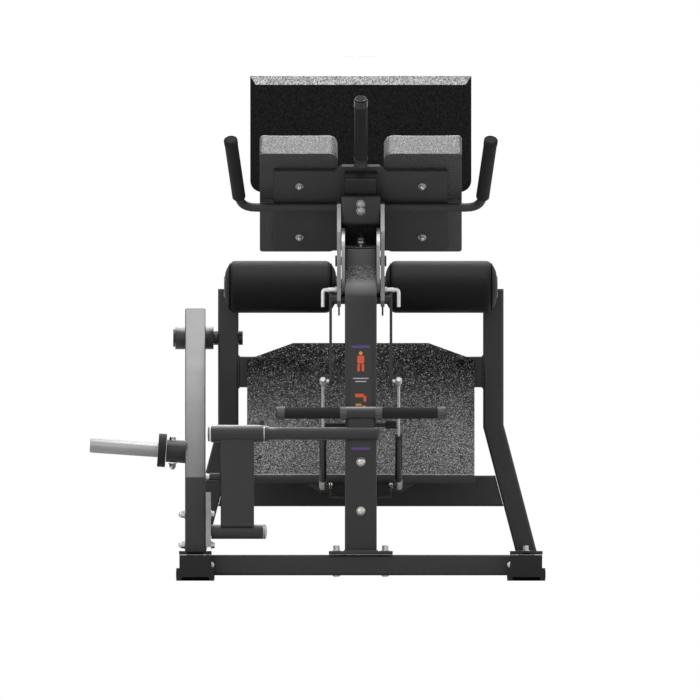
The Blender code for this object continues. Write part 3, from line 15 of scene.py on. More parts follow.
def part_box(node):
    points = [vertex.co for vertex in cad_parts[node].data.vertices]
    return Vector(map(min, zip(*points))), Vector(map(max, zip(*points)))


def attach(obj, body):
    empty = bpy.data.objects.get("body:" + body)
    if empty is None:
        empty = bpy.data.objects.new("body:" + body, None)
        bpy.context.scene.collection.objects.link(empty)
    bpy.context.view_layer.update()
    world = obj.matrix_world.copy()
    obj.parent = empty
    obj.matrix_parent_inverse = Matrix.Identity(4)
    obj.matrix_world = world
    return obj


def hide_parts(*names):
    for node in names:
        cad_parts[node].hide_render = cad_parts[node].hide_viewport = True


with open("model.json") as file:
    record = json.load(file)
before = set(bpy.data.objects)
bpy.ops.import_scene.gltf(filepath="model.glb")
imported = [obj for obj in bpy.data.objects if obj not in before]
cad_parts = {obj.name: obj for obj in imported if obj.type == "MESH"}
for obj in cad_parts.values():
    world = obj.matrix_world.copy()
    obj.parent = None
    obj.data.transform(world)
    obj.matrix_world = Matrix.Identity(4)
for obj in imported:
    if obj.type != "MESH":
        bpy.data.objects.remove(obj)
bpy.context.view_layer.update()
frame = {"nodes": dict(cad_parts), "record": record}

# %% [markdown]
# Sizes are easiest to read from the middle of the machine, as its maker would draw them. The CAD frame has
# its origin under the middle of the outer box instead, so one small function moves a point from the
# maker's drawing to the CAD frame. The centre post gives the shift across, and the rest is its known place.

# %% Places
post_low, post_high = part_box("centre_post")
MIDDLE = Vector(((post_low[0] + post_high[0]) / 2, 0.160, 0.0))
SIDES = (("left", -1), ("right", 1))
UP, FRONT, RIGHT = Vector((0, 0, 1)), Vector((0, -1, 0)), Vector((1, 0, 0))
DOWN, BACK, LEFT = Vector((0, 0, -1)), Vector((0, 1, 0)), Vector((-1, 0, 0))
TUBE_HALF = 0.030
RAIL_X, FLANGE_TOP = 0.4815, 0.0868
POST_Y, POST_FRONT_Y, POST_HALF = -0.720, -0.750, 0.04575
UPRIGHT_X, UPRIGHT_Y = 0.3856, 0.215
MAST_Y, MAST_BEND_Z, MAST_LEAN = 0.2703, 1.449, math.radians(60)
LEVER_END_Y, LEVER_BEND_Z, LEVER_PIVOT_Z, LEVER_TAIL = -0.775, 0.282, 0.7066, 0.150


def at(x, y, z):
    """A point of the maker's drawing as a point of the CAD frame."""
    return MIDDLE + Vector((x, y, z))


def tilted(angle):
    """A direction that leans forwards from upright by an angle."""
    return Vector((0, -math.sin(angle), math.cos(angle)))


print("machine's middle:", [round(v, 4) for v in MIDDLE])

# %% [markdown]
# A photograph from a catalogue is taken with a long lens straight from the front, so that nothing looks
# tapered. An orthographic camera gives that view. Its width is the number of pixels times the size of one
# pixel, which was measured on the parts of known size.

# %% Camera
MM_PER_PIXEL, PICTURE_PIXELS = 2.91, 700
camera_data = bpy.data.cameras.new("front_camera")
camera_data.type = "ORTHO"
camera_data.ortho_scale = PICTURE_PIXELS * MM_PER_PIXEL / 1000
camera_data.clip_end = 50
camera = bpy.data.objects.new("front_camera", camera_data)
camera.location = at(-0.0314, -6.0, 0.6716)
camera.rotation_euler = (math.radians(90), 0, 0)
bpy.context.scene.collection.objects.link(camera)
bpy.context.scene.camera = camera
bpy.context.scene.view_settings.view_transform = "Standard"
print("camera at", [round(v, 3) for v in camera.location])

# %% [markdown]
# A material is a small network of nodes. Written out by hand each node takes four or five lines, so one
# function adds a node, sets its settings and joins its inputs, and short ones wrap the kinds that come up
# most. Colours are picked as hex values from a screen, which are sRGB, while shaders work in linear light,
# so another function turns one to the other.

# %% Node and colour helpers
def add(tree, kind, inputs=None, **settings):
    """Add a node with its settings, and set or link its inputs by name or number."""
    made = tree.nodes.new(kind)
    for name, value in settings.items():
        setattr(made, name, value)
    for name, value in (inputs or {}).items():
        if isinstance(value, bpy.types.NodeSocket):
            tree.links.new(value, made.inputs[name])
        else:
            made.inputs[name].default_value = value
    return made


def maths(tree, operation, first, second):
    """One sum of two numbers or sockets."""
    return add(tree, "ShaderNodeMath", {0: first, 1: second}, operation=operation).outputs[0]


def vectors(tree, operation, first, second=(0, 0, 0), output="Vector"):
    """One sum of two vectors or sockets."""
    return add(tree, "ShaderNodeVectorMath", {0: first, 1: second}, operation=operation).outputs[output]


def ranged(tree, value, low, high, to_low=0.0, to_high=1.0, **settings):
    """Turn a value's range from low to high into another range, and hold it there."""
    ends = {"From Min": low, "From Max": high, "To Min": to_low, "To Max": to_high}
    return add(tree, "ShaderNodeMapRange", {"Value": value, **ends}, **settings).outputs["Result"]


def srgb(text):
    """An sRGB hex colour as linear values."""
    shares = [int(text[i:i + 2], 16) / 255 for i in (1, 3, 5)]
    linear = [s / 12.92 if s <= 0.04045 else ((s + 0.055) / 1.055) ** 2.4 for s in shares]
    return (*linear, 1.0)


def mixed(tree, amount, first, second):
    """Mix two colours, each a hex value or a socket."""
    first, second = (srgb(tone) if isinstance(tone, str) else tone for tone in (first, second))
    return add(tree, "ShaderNodeMix", {0: amount, 6: first, 7: second}, data_type="RGBA").outputs[2]


def noise(tree, coords, size, detail=2.0):
    """The outputs of a noise with patches of a real size in metres."""
    return add(tree, "ShaderNodeTexNoise", {"Vector": coords, "Scale": 1 / size, "Detail": detail}).outputs


def bumped(tree, height, strength, distance, normal=None):
    """A normal that follows a height, laid over another normal where one is given."""
    under = {} if normal is None else {"Normal": normal}
    return add(tree, "ShaderNodeBump", {"Height": height, "Strength": strength, "Distance": distance,
                                        **under}).outputs["Normal"]


def height_of(tree, vector):
    return add(tree, "ShaderNodeSeparateXYZ", {"Vector": vector}).outputs["Z"]


def feed(shader, **sockets):
    """Link outputs to a shader's inputs, each named with _ for a space."""
    for name, output in sockets.items():
        shader.id_data.links.new(output, shader.inputs[name.replace("_", " ")])


def new_material(name, colour, roughness, metallic=0.0, **sockets):
    """A material with one shader, and the sockets that are the same all over the surface."""
    made = bpy.data.materials.new(name)
    made.use_nodes = True
    made.diffuse_color = srgb(colour)
    tree = made.node_tree
    shader = tree.nodes["Principled BSDF"]
    values = {"Base Color": srgb(colour), "Roughness": roughness, "Metallic": metallic}
    values.update((socket.replace("_", " "), value) for socket, value in sockets.items())
    for socket, value in values.items():
        shader.inputs[socket].default_value = value
    return made, tree, shader, add(tree, "ShaderNodeTexCoord").outputs["Object"]


def mottled(tree, shader, coords, size, dark, light, rough_low, rough_high):
    """Colour and roughness that drift between two values over patches of a real size in metres."""
    patches = noise(tree, coords, size, 3.0)["Fac"]
    colour = mixed(tree, patches, dark, light)
    feed(shader, Base_Color=colour, Roughness=ranged(tree, patches, 0, 1, rough_low, rough_high))
    return colour


print("helpers ready")

# %% [markdown]
# The frame is welded steel tube under a charcoal powder coat, which is sprayed on dry and baked. Baking
# leaves the fine dimples that people call orange peel, about a millimetre apart, and a satin gloss. Real
# tube also has small rounded edges that catch the light. The Bevel node gives those to the sharp CAD
# edges, and comparing its normal with the true one tells where an edge is, to rub the coat a little paler.
# Some copies carry painted highlights: the post's coat has a pale band with pale specks across its bend,
# and the coats of round tubes and hubs have a pale tone on their upward faces.

# %% Powder-coated steel
FLAT_MATCH, EDGE_MATCH = 0.995, 0.86
# Sizes of the painted highlight across the post's bend, and of the pale specks above it that paint glints.
BAND_BELOW, BAND_OVER, BAND_FADE, SPECKS_OVER = 0.034, 0.004, 0.018, 0.060
SPECK_SIZE, SPECK_SHARE, BAND_STRENGTH = 0.0017, 0.60, 0.80


def edges_of(tree, radius):
    """The rounded normal, and a mask that is 1 on a sharp edge and 0 on a flat face."""
    rounded = add(tree, "ShaderNodeBevel", {"Radius": radius}, samples=4).outputs["Normal"]
    flat = add(tree, "ShaderNodeNewGeometry").outputs["Normal"]
    match = vectors(tree, "DOT_PRODUCT", rounded, flat, "Value")
    return rounded, ranged(tree, match, FLAT_MATCH, EDGE_MATCH)


def paint_bend_highlight(tree, coords, colour, band):
    """A painted highlight across a bend: a pale band at a height, that breaks up above it into pale specks as
    painted glints.
    """
    height = height_of(tree, coords)
    solid = maths(tree, "MULTIPLY", ranged(tree, height, band - BAND_BELOW, band),
                  ranged(tree, height, band + BAND_FADE, band + BAND_OVER))
    # Above the band the painted highlight breaks up into separate pale specks, painted glints that grow fewer
    # with the height.
    cells = vectors(tree, "SNAP", coords, (SPECK_SIZE,) * 3)
    speck = add(tree, "ShaderNodeTexWhiteNoise", {"Vector": cells}).outputs["Value"]
    share = ranged(tree, height, band + SPECKS_OVER, band, 0.0, SPECK_SHARE)
    glint_mask = maths(tree, "LESS_THAN", speck, share)
    glints = maths(tree, "MULTIPLY", glint_mask, maths(tree, "GREATER_THAN", height, band))
    amount = maths(tree, "MULTIPLY", maths(tree, "MAXIMUM", solid, glints), BAND_STRENGTH)
    return mixed(tree, amount, colour, "#8d8d8d")


def make_powder_coat(name, band=None, upward_highlight=None, level=0.34, dark="#272727", light="#2f2f2f"):
    """Charcoal powder coat, with two painted highlights that may be asked for: a pale band across a bend at a
    given height, and a given pale tone on upward faces that fades in between two upward slopes."""
    made, tree, shader, coords = new_material(name, "#2b2b2b", 0.42, Specular_IOR_Level=level)
    colour = mottled(tree, shader, coords, 0.09, dark, light, 0.38, 0.47)
    normal, edge = edges_of(tree, 0.0016)
    colour = mixed(tree, edge, colour, "#515151")
    # A painted highlight across a bend.
    if band:
        colour = paint_bend_highlight(tree, coords, colour, band)
    # Upward faces get a painted highlight: a pale tone that fades in between two upward slopes.
    if upward_highlight:
        tone, low, high = upward_highlight
        upward = height_of(tree, add(tree, "ShaderNodeTexCoord").outputs["Normal"])
        colour = mixed(tree, ranged(tree, upward, low, high), colour, tone)
    # Orange peel is about 1 mm across; 2.5 mm is the finest that still shows at this distance.
    peel = noise(tree, coords, 0.0025)["Fac"]
    feed(shader, Base_Color=colour, Normal=bumped(tree, peel, 0.10, 0.0006, normal))
    return made


POWDER_COAT = make_powder_coat("charcoal_powder_coat")
# The post's coat paints a highlight across its bend.
POST_COAT = make_powder_coat("powder_coat_with_painted_bend_highlight", 0.862)
# The tube and hub coats paint a highlight on their upward faces, as round tops lit from above and behind
# show.
TUBE_COAT = make_powder_coat("tube_coat_with_painted_top_highlight", upward_highlight=("#c5c5c5", 0.76, 0.90))
HUB_COAT = make_powder_coat("hub_coat_with_painted_top_highlight", upward_highlight=("#a3a3a3", 0.55, 0.80))
# The pads' mount plate gets a matt copy of the coat painted lighter, painted light for the light the floor
# throws onto its downward face.
MATT_LIT_COAT = make_powder_coat("matt_plate_coat_painted_lighter", level=0.12, dark="#393939", light="#434343")
print("made five powder coats")

# %% [markdown]
# Plates, bolts and pins that turn against other steel are zinc plated, which gives a pale metal with a
# cloudy bloom. The horn for the weight plates is satin steel, and ribbed rings are dull nickel. Pivot ends
# and the rest bar are blackened in hot oil. All are metals, so their colour sits in the reflection and
# roughness does the rest.

# %% Metals
def make_grained(name, dark, light, roughness, patch, grain, detail, strength, edge, distance, **sockets):
    """A material whose tone drifts in patches, with a fine grain and softly rounded edges."""
    made, tree, shader, coords = new_material(name, light, roughness[0], **sockets)
    mottled(tree, shader, coords, patch, dark, light, *roughness)
    normal, _ = edges_of(tree, edge)
    feed(shader, Normal=bumped(tree, noise(tree, coords, grain, detail)["Fac"], strength, distance, normal))
    return made


def make_metal(name, dark, light, rough_low, rough_high, patch, grain, strength, metallic=1.0):
    return make_grained(name, dark, light, (rough_low, rough_high), patch, grain, 2.0, strength, 0.0010,
                        0.0004, metallic=metallic)


ZINC_PLATE = make_metal("zinc_plated_plate", "#757575", "#999999", 0.36, 0.52, 0.03, 0.002, 0.08)
BRIGHT_BOLT = make_metal("bright_zinc_bolt", "#a8a7a1", "#cac8c2", 0.26, 0.38, 0.01, 0.001, 0.04)
BLACK_OXIDE = make_metal("black_oxide_steel", "#1c1c1c", "#343434", 0.30, 0.45, 0.02, 0.0015, 0.08, 0.6)
CYLINDER_PAINT = make_metal("gas_cylinder_enamel", "#1b1b1b", "#2b2b2b", 0.14, 0.22, 0.05, 0.002, 0.02, 0.4)
SATIN_STEEL = make_metal("satin_steel_bar", "#7e7e7e", "#9a9a9a", 0.42, 0.54, 0.05, 0.0015, 0.05)
PIN_ZINC = make_metal("pale_pin_zinc", "#c5c5c5", "#e1e1e1", 0.38, 0.48, 0.008, 0.0012, 0.06, 0.8)
NICKEL = make_metal("dull_nickel_ring", "#414141", "#666666", 0.38, 0.52, 0.004, 0.0015, 0.08)
print("made seven metals")

# %% [markdown]
# Feet, grips, end caps and knobs are black rubber or plastic. Moulded rubber is dull and slightly grey,
# because it scatters light in its surface, while a hard plastic knob or cap is darker and glossier. Grip
# rubber gets a tighter, deeper grain, as the mould for a grip is sand blasted. The white nylon of the
# small caps and the near-white enamel that paints the highlight on the mast's end have the same make-up,
# so they come from the same function.

# %% Rubber and plastic
def make_moulded(name, dark, light, rough_low, rough_high, grain, strength, **sockets):
    """Moulded rubber or plastic with the mould's grain in its surface."""
    return make_grained(name, dark, light, (rough_low, rough_high), 0.03, grain, 3.0, strength, 0.0012,
                        0.0008, **sockets)


FOOT_RUBBER = make_moulded("moulded_foot_rubber", "#181818", "#222222", 0.60, 0.75, 0.003, 0.25,
                           Specular_IOR_Level=0.25)
GRIP_RUBBER = make_moulded("grained_grip_rubber", "#151515", "#1f1f1f", 0.60, 0.72, 0.002, 0.45,
                           Specular_IOR_Level=0.20)
HARD_PLASTIC = make_moulded("glossy_black_plastic", "#121212", "#1b1b1b", 0.22, 0.32, 0.004, 0.05, IOR=1.46)
CAP_RUBBER = make_moulded("dull_cap_rubber", "#1a1a1a", "#262626", 0.75, 0.88, 0.003, 0.2,
                          Specular_IOR_Level=0.15)
# Near-black and nearly unlit, for the thin sheets and rings that paint shade into grooves, slots and
# recesses.
SHADE_BLACK = make_moulded("painted_shade_black", "#040404", "#070707", 0.90, 0.95, 0.004, 0.05,
                          Specular_IOR_Level=0.02)
NYLON = make_moulded("white_nylon", "#dadada", "#e9e9e9", 0.35, 0.45, 0.004, 0.05)
# Near-white enamel, used to paint the highlight on the mast's bent end.
HIGHLIGHT_ENAMEL = make_moulded("painted_highlight_enamel", "#e5e5e5", "#f2f2f2", 0.28, 0.36, 0.006, 0.04)
print("made six rubbers and plastics, and an enamel")

# %% [markdown]
# The cushions are foam under leatherette, a vinyl film pressed on a woven back with a roller that leaves
# a pebbled grain. The pebbles are cells with soft valleys between them, so a Voronoi pattern's distance
# to the edge gives their height. Real ones are about 1.2 mm across, and 3 mm is the finest that shows. The
# pads shine more than the worn rollers, so they need a coarser grain, of 5 mm, to break up the shine.

# %% Leatherette
def make_leatherette(name, dark, light, rough_low, rough_high, pebble, depth, level):
    made, tree, shader, coords = new_material(name, light, rough_low, Specular_IOR_Level=level)
    mottled(tree, shader, coords, 0.05, dark, light, rough_low, rough_high)
    bent = vectors(tree, "MULTIPLY", noise(tree, coords, 0.006)["Color"], (0.0016,) * 3)
    pebbles = add(tree, "ShaderNodeTexVoronoi", {"Vector": vectors(tree, "ADD", coords, bent),
                                                 "Scale": 1 / pebble}, feature="DISTANCE_TO_EDGE")
    height = ranged(tree, pebbles.outputs["Distance"], 0, 0.25, interpolation_type="SMOOTHSTEP")
    creased = bumped(tree, noise(tree, coords, 0.035, 4.0)["Fac"], 0.15, 0.003)
    feed(shader, Normal=bumped(tree, height, depth, 0.0006, creased))
    return made


LEATHERETTE = make_leatherette("worn_roller_leatherette", "#121212", "#1a1a1a", 0.50, 0.62, 0.0030, 0.40,
                               0.13)
PAD_LEATHERETTE = make_leatherette("satin_pad_leatherette", "#131313", "#1b1b1b", 0.30, 0.38, 0.0052, 0.95,
                                   0.85)
print("made", LEATHERETTE.name, PAD_LEATHERETTE.name)

# %% [markdown]
# The foot plates carry an anti-slip coat: hard mineral grains in black resin. Most grains are black, and
# the ones whose facets happen to face the light flash white. Voronoi cells stand for the grains. Each
# cell's random colour leans its facet, so which grains flash follows from the lamps, as on the real coat.
# Towards the top of the sloping plate, under the rollers, the coat is also painted into shade, with a few
# pale grains painted in as glints.

# %% Anti-slip grit
GLINT_GRAINS_ABOVE = 0.925


def make_grit(name, dark, light, lean, rough_low, rough_high, level, cell, dimmed=None):
    """Grains whose facets lean at random, by up to about the given slope. The last option gives two heights:
    above the upper one the coat is painted into shade, its sheen turned down, with a few pale grains painted
    in as glints; below the lower one it has its full sheen and its pale grains fade to a quarter."""
    made, tree, shader, coords = new_material(name, dark, rough_low, Specular_IOR_Level=level)
    # Grains are about 1 mm; 2.5 mm is the finest that still shows at this distance.
    grains = add(tree, "ShaderNodeTexVoronoi", {"Vector": coords, "Scale": 1 / cell}).outputs["Color"]
    pick = add(tree, "ShaderNodeSeparateColor", {"Color": grains}).outputs
    tone = mixed(tree, pick["Red"], dark, light)
    # Painted shade and painted glints between two heights: less sheen and a few pale grains towards the top.
    if dimmed:
        amount = ranged(tree, height_of(tree, coords), dimmed[1], dimmed[0])
        feed(shader, Specular_IOR_Level=ranged(tree, amount, 0, 1, level * 0.15, level))
        glint_grains = maths(tree, "GREATER_THAN", pick["Blue"], GLINT_GRAINS_ABOVE)
        pale = maths(tree, "MULTIPLY", glint_grains, ranged(tree, amount, 0, 1, 1.0, 0.25))
        tone = mixed(tree, pale, tone, "#989898")
    # Each grain's facet leans its own way: a random vector on the surface's normal, scaled by the lean.
    leaning = vectors(tree, "MULTIPLY", vectors(tree, "SUBTRACT", grains, (0.5,) * 3), (lean,) * 3)
    normal = add(tree, "ShaderNodeNewGeometry").outputs["Normal"]
    feed(shader, Base_Color=tone, Roughness=ranged(tree, pick["Green"], 0, 1, rough_low, rough_high),
         Normal=vectors(tree, "NORMALIZE", vectors(tree, "ADD", leaning, normal)))
    return made


# The foot plate's grit is painted into shade towards its top, where the rollers shade it.
GRIT = make_grit("anti_slip_grit", "#0c0c0c", "#191919", 0.90, 0.15, 0.50, 0.50, 0.0026, (0.37, 0.66))
BOARD_GRIT = make_grit("fine_board_grit", "#040404", "#1b1b1b", 0.30, 0.60, 0.80, 0.08, 0.0036)
# A lighter copy of the board's grit, painted light for the top bevel that faces up into the light.
LIT_BEVEL_GRIT = make_grit("painted_lit_bevel_grit", "#262626", "#979797", 0.75, 0.30, 0.60, 0.80, 0.0032)
print("made", GRIT.name, BOARD_GRIT.name, LIT_BEVEL_GRIT.name)

# %% [markdown]
# Every CAD node names a slot for its finish in the imported record. One loop gives each node the material
# of its slot, or its own where it differs. The foot plate's grit is on its upper face only. A table leads
# back from each finish made here to a slot, which a piece looks up when none is given, though it keeps none.

# %% Dress the CAD nodes
SLOTS = {"frame": POWDER_COAT, "zinc": ZINC_PLATE, "chrome": PIN_ZINC, "hardware": BLACK_OXIDE,
         "cylinder": CYLINDER_PAINT, "rubber": FOOT_RUBBER, "grip": GRIP_RUBBER, "knob": HARD_PLASTIC,
         "pad": LEATHERETTE, "grit": GRIT}
OWN = {"pad_mount_plate": MATT_LIT_COAT, "tee_handle": TUBE_COAT, "swing_arm": TUBE_COAT}
SLOT_OF = {POWDER_COAT: "frame", POST_COAT: "frame", HUB_COAT: "frame", HIGHLIGHT_ENAMEL: "frame",
           ZINC_PLATE: "zinc", PIN_ZINC: "zinc", NICKEL: "zinc", SATIN_STEEL: "chrome",
           BRIGHT_BOLT: "hardware", BLACK_OXIDE: "hardware", FOOT_RUBBER: "rubber", CAP_RUBBER: "rubber",
           SHADE_BLACK: "rubber", GRIP_RUBBER: "grip", HARD_PLASTIC: "knob", NYLON: "knob",
           LEATHERETTE: "pad", PAD_LEATHERETTE: "pad", BOARD_GRIT: "grit"}


def dress(thing, material):
    """Put one material in all of an object's slots."""
    if not thing.data.materials:
        thing.data.materials.append(material)
    for number in range(len(thing.data.materials)):
        thing.data.materials[number] = material


for part in frame["record"]["subparts"]:
    dress(frame["nodes"][part["node"]], OWN.get(part["node"], SLOTS[part["material_slot"]]))
foot_plate = frame["nodes"]["foot_plate"].data
foot_plate.materials.append(POWDER_COAT)
for face in foot_plate.polygons:
    face.material_index = 1 if face.normal.y > 0.3 else 0

# %% [markdown]
# Soft studio light comes from a big box overhead, which puts a bright sheet on every surface that slopes
# up towards the viewer, one behind, and two dim ones in front and at the right that keep the shadows open.
# The world is white where the camera, reflections and glass look, so the picture has its white ground, and
# much dimmer as a light. Past the shadow the floor fades into that white, so no view shows a horizon.

# %% Light and floor
WHITE = (1, 1, 1, 1)
FLOOR_REACH, FLOOR_DROP = 9, -0.001


def softbox(name, place, aim, width, height, power):
    """A rectangular area light that looks at a point."""
    data = bpy.data.lights.new(name, "AREA")
    data.shape = "RECTANGLE"
    data.size, data.size_y, data.energy = width, height, power
    lamp = bpy.data.objects.new(name, data)
    lamp.location = place
    lamp.rotation_euler = (Vector(aim) - Vector(place)).to_track_quat("-Z", "Y").to_euler()
    bpy.context.scene.collection.objects.link(lamp)


def sees_background(tree):
    """1 for the rays that show a background, straight, through glass or in a reflection."""
    seen = add(tree, "ShaderNodeLightPath").outputs
    clear = maths(tree, "MAXIMUM", seen["Is Camera Ray"], seen["Is Transmission Ray"])
    return maths(tree, "MAXIMUM", clear, seen["Is Glossy Ray"])


softbox("overhead_box", (0.0, -0.4, 3.4), (0.0, -0.2, 0.6), 2.4, 1.8, 95)
softbox("back_box", (0.2, 3.0, 3.2), (0.0, 0.0, 0.6), 2.8, 1.4, 68)
softbox("front_box", (-1.6, -3.6, 1.9), (0.0, 0.0, 0.7), 1.6, 1.6, 22)
softbox("right_box", (3.4, -1.0, 1.6), (0.0, 0.0, 0.7), 1.2, 1.8, 14)

world = bpy.data.worlds.new("white_studio")
world.use_nodes = True
bpy.context.scene.world = world
tree = world.node_tree
tree.nodes.clear()
ground = add(tree, "ShaderNodeBackground", {"Color": WHITE, "Strength": 1.0})
glow = add(tree, "ShaderNodeBackground", {"Color": WHITE, "Strength": 0.32})
both = add(tree, "ShaderNodeMixShader", {0: sees_background(tree), 1: glow.outputs[0], 2: ground.outputs[0]})
add(tree, "ShaderNodeOutputWorld", {"Surface": both.outputs[0]})

corners = [(x * FLOOR_REACH, y * FLOOR_REACH, FLOOR_DROP) for x, y in ((-1, -1), (1, -1), (1, 1), (-1, 1))]
floor_mesh = bpy.data.meshes.new("studio_floor")
floor_mesh.from_pydata(corners, [], [(0, 1, 2, 3)])
floor = bpy.data.objects.new("studio_floor", floor_mesh)
bpy.context.scene.collection.objects.link(floor)
floor_paint, tree, paint, _ = new_material("pale_floor_paint", "#e9e9e9", 0.7)
away = vectors(tree, "LENGTH", add(tree, "ShaderNodeNewGeometry").outputs["Position"], output="Value")
far = ranged(tree, away, 1.6, 4.2, interpolation_type="SMOOTHSTEP")
white = add(tree, "ShaderNodeEmission", {"Color": WHITE, "Strength": 1.0})
blend = add(tree, "ShaderNodeMixShader", {0: maths(tree, "MULTIPLY", far, sees_background(tree)),
                                          1: paint.outputs[0], 2: white.outputs[0]})
tree.links.new(blend.outputs[0], tree.nodes["Material Output"].inputs["Surface"])
dress(floor, floor_paint)
print("four softboxes, a world and a floor")

# %% [markdown]
# Most pieces here are turned on a lathe or cut from plate, so two builders cover them. A lathe spins a
# profile, given as pairs of radius and height, about an axis. A slab pushes an outline through a
# thickness. Both weld their doubles and turn their faces outwards, because a spun or mirrored shape can
# end inside out. Each piece keeps its object at the origin, with its place in its mesh.

# %% Piece builders
SHARP = math.radians(38)


def piece(name, mesh, material, body, cad=(), slot=None):
    """Make an object of a mesh, give it its finish, and let it ride on a body."""
    made = bpy.data.objects.new(name, mesh)
    bpy.context.scene.collection.objects.link(made)
    dress(made, material)
    slot = slot or SLOT_OF[material]
    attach(made, body)
    if cad:
        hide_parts(*cad)
    return made


def closed_mesh(name, bm, smooth=True):
    """Weld and turn outwards what bmesh made, and shade it smooth except at its sharp edges."""
    bmesh.ops.remove_doubles(bm, verts=bm.verts, dist=1e-6)
    bmesh.ops.recalc_face_normals(bm, faces=bm.faces)
    mesh = bpy.data.meshes.new(name)
    bm.to_mesh(mesh)
    bm.free()
    if smooth:
        mesh.shade_smooth()
        mesh.set_sharp_from_angle(angle=SHARP)
    return mesh


def frame_of(place, axis, side=None):
    """A matrix whose Z runs along an axis, at a place, and whose X is nearest to a side."""
    axis = Vector(axis).normalized()
    if side is None:
        turn = axis.to_track_quat("Z", "Y").to_matrix()
    else:
        side = Vector(side)
        side = (side - axis * side.dot(axis)).normalized()
        turn = Matrix((side, axis.cross(side), axis)).transposed()
    return Matrix.Translation(place) @ turn.to_4x4()


def lathe(name, profile, place, axis, steps=32):
    """Spin (radius, height) pairs about an axis. A profile that comes back to its start makes a ring."""
    bm = bmesh.new()
    closed = profile[0] == profile[-1]
    verts = [bm.verts.new((radius, 0, height)) for radius, height in (profile[:-1] if closed else profile)]
    edges = [bm.edges.new(pair) for pair in zip(verts, verts[1:] + ([verts[0]] if closed else []))]
    bmesh.ops.spin(bm, geom=verts + edges, cent=(0, 0, 0), axis=(0, 0, 1), angle=math.tau, steps=steps,
                   use_merge=True)
    bmesh.ops.transform(bm, matrix=frame_of(place, axis), verts=bm.verts)
    return closed_mesh(name, bm)


def slab(name, outline, low, high, matrix, bevel=0.0, segments=2):
    """Push an outline of (x, y) points from one height to another, with rounded edges."""
    bm = bmesh.new()
    base, top = ([bm.verts.new((x, y, height)) for x, y in outline] for height in (low, high))
    count = len(outline)
    bm.faces.new(base[::-1])
    bm.faces.new(top)
    for i in range(count):
        bm.faces.new((base[i], base[(i + 1) % count], top[(i + 1) % count], top[i]))
    bmesh.ops.recalc_face_normals(bm, faces=bm.faces)
    if bevel:
        sharp = [edge for edge in bm.edges if edge.calc_face_angle(0) > math.radians(30)]
        bmesh.ops.bevel(bm, geom=sharp, offset=bevel, segments=segments, profile=0.5, affect="EDGES",
                        clamp_overlap=True)
    bmesh.ops.transform(bm, matrix=matrix, verts=bm.verts)
    return closed_mesh(name, bm)


def turned(name, profile, place, axis, material, body, steps=32, cad=()):
    """A piece made on the lathe."""
    return piece(name, lathe(name, profile, place, axis, steps), material, body, cad)


def cut(name, outline, low, high, matrix, material, body, bevel=0.0, segments=2, cad=(), slot=None):
    """A piece made as a slab."""
    return piece(name, slab(name, outline, low, high, matrix, bevel, segments), material, body, cad, slot)


def joined(name, meshes):
    """Many meshes as one."""
    bm = bmesh.new()
    for mesh in meshes:
        bm.from_mesh(mesh)
    whole = bpy.data.meshes.new(name)
    bm.to_mesh(whole)
    bm.free()
    return whole


def baked(thing):
    """What an object's modifiers make of it, as a plain mesh."""
    return bpy.data.meshes.new_from_object(thing.evaluated_get(bpy.context.evaluated_depsgraph_get()))


def box_outline(half, low, high, top_half=None):
    """A flat shape between two heights, which may be narrower at the top."""
    top_half = half if top_half is None else top_half
    return [(-half, low), (half, low), (top_half, high), (-top_half, high)]


def rounded_outline(half_x, half_y, radii, steps=5):
    """A rectangle's outline with one radius, or its own at each corner from the lower left one round."""
    corners = ((-1, -1), (1, -1), (1, 1), (-1, 1))
    radii = radii if isinstance(radii, tuple) else (radii,) * 4
    points = []
    for (sx, sy), radius, start in zip(corners, radii, (180, 270, 0, 90)):
        for step in range(steps + 1):
            angle = math.radians(start + 90 * step / steps)
            points.append((sx * (half_x - radius) + radius * math.cos(angle),
                           sy * (half_y - radius) + radius * math.sin(angle)))
    return points


print("builders ready")

# %% [markdown]
# A hip pad is a block of foam on a plywood board, with leatherette pulled over it and stapled behind.
# Modelled straight from its sizes it would look like a brick. Real upholstery swells where nothing holds
# it. So a cloth simulation blows the block up like a cushion, with the board side pinned and a cap on how
# far any point may move. The simulation needs even faces, so the mesh is rebuilt from voxels first.

# %% Stuffing
SWELL_FRAMES, VOXEL = 20, 0.0050


def blown(work, name, held, pressure, cap):
    """Inflate an object's even mesh by pressure, moving no point further than the cap."""
    start = [v.co.copy() for v in work.data.vertices]
    group = work.vertex_groups.new(name="held")
    group.add([i for i, co in enumerate(start) if held(co)], 1.0, "REPLACE")
    cloth = work.modifiers.new("stuffing", "CLOTH")
    cloth.settings.use_pressure = True
    cloth.settings.uniform_pressure_force = pressure
    cloth.settings.vertex_group_mass = "held"
    cloth.settings.effector_weights.gravity = 0
    cloth.point_cache.frame_start, cloth.point_cache.frame_end = 1, SWELL_FRAMES
    for number in range(1, SWELL_FRAMES + 1):
        bpy.context.scene.frame_set(number)
    mesh = baked(work)
    bpy.context.scene.frame_set(1)
    furthest = 0.0
    for before, vert in zip(start, mesh.vertices):
        step = vert.co - before
        if step.length > cap:
            step *= cap / step.length
        furthest = max(furthest, step.length)
        vert.co = before + step
    print(name, "swelled by up to", round(furthest * 1000, 1), "mm on", len(mesh.vertices), "points")
    return mesh


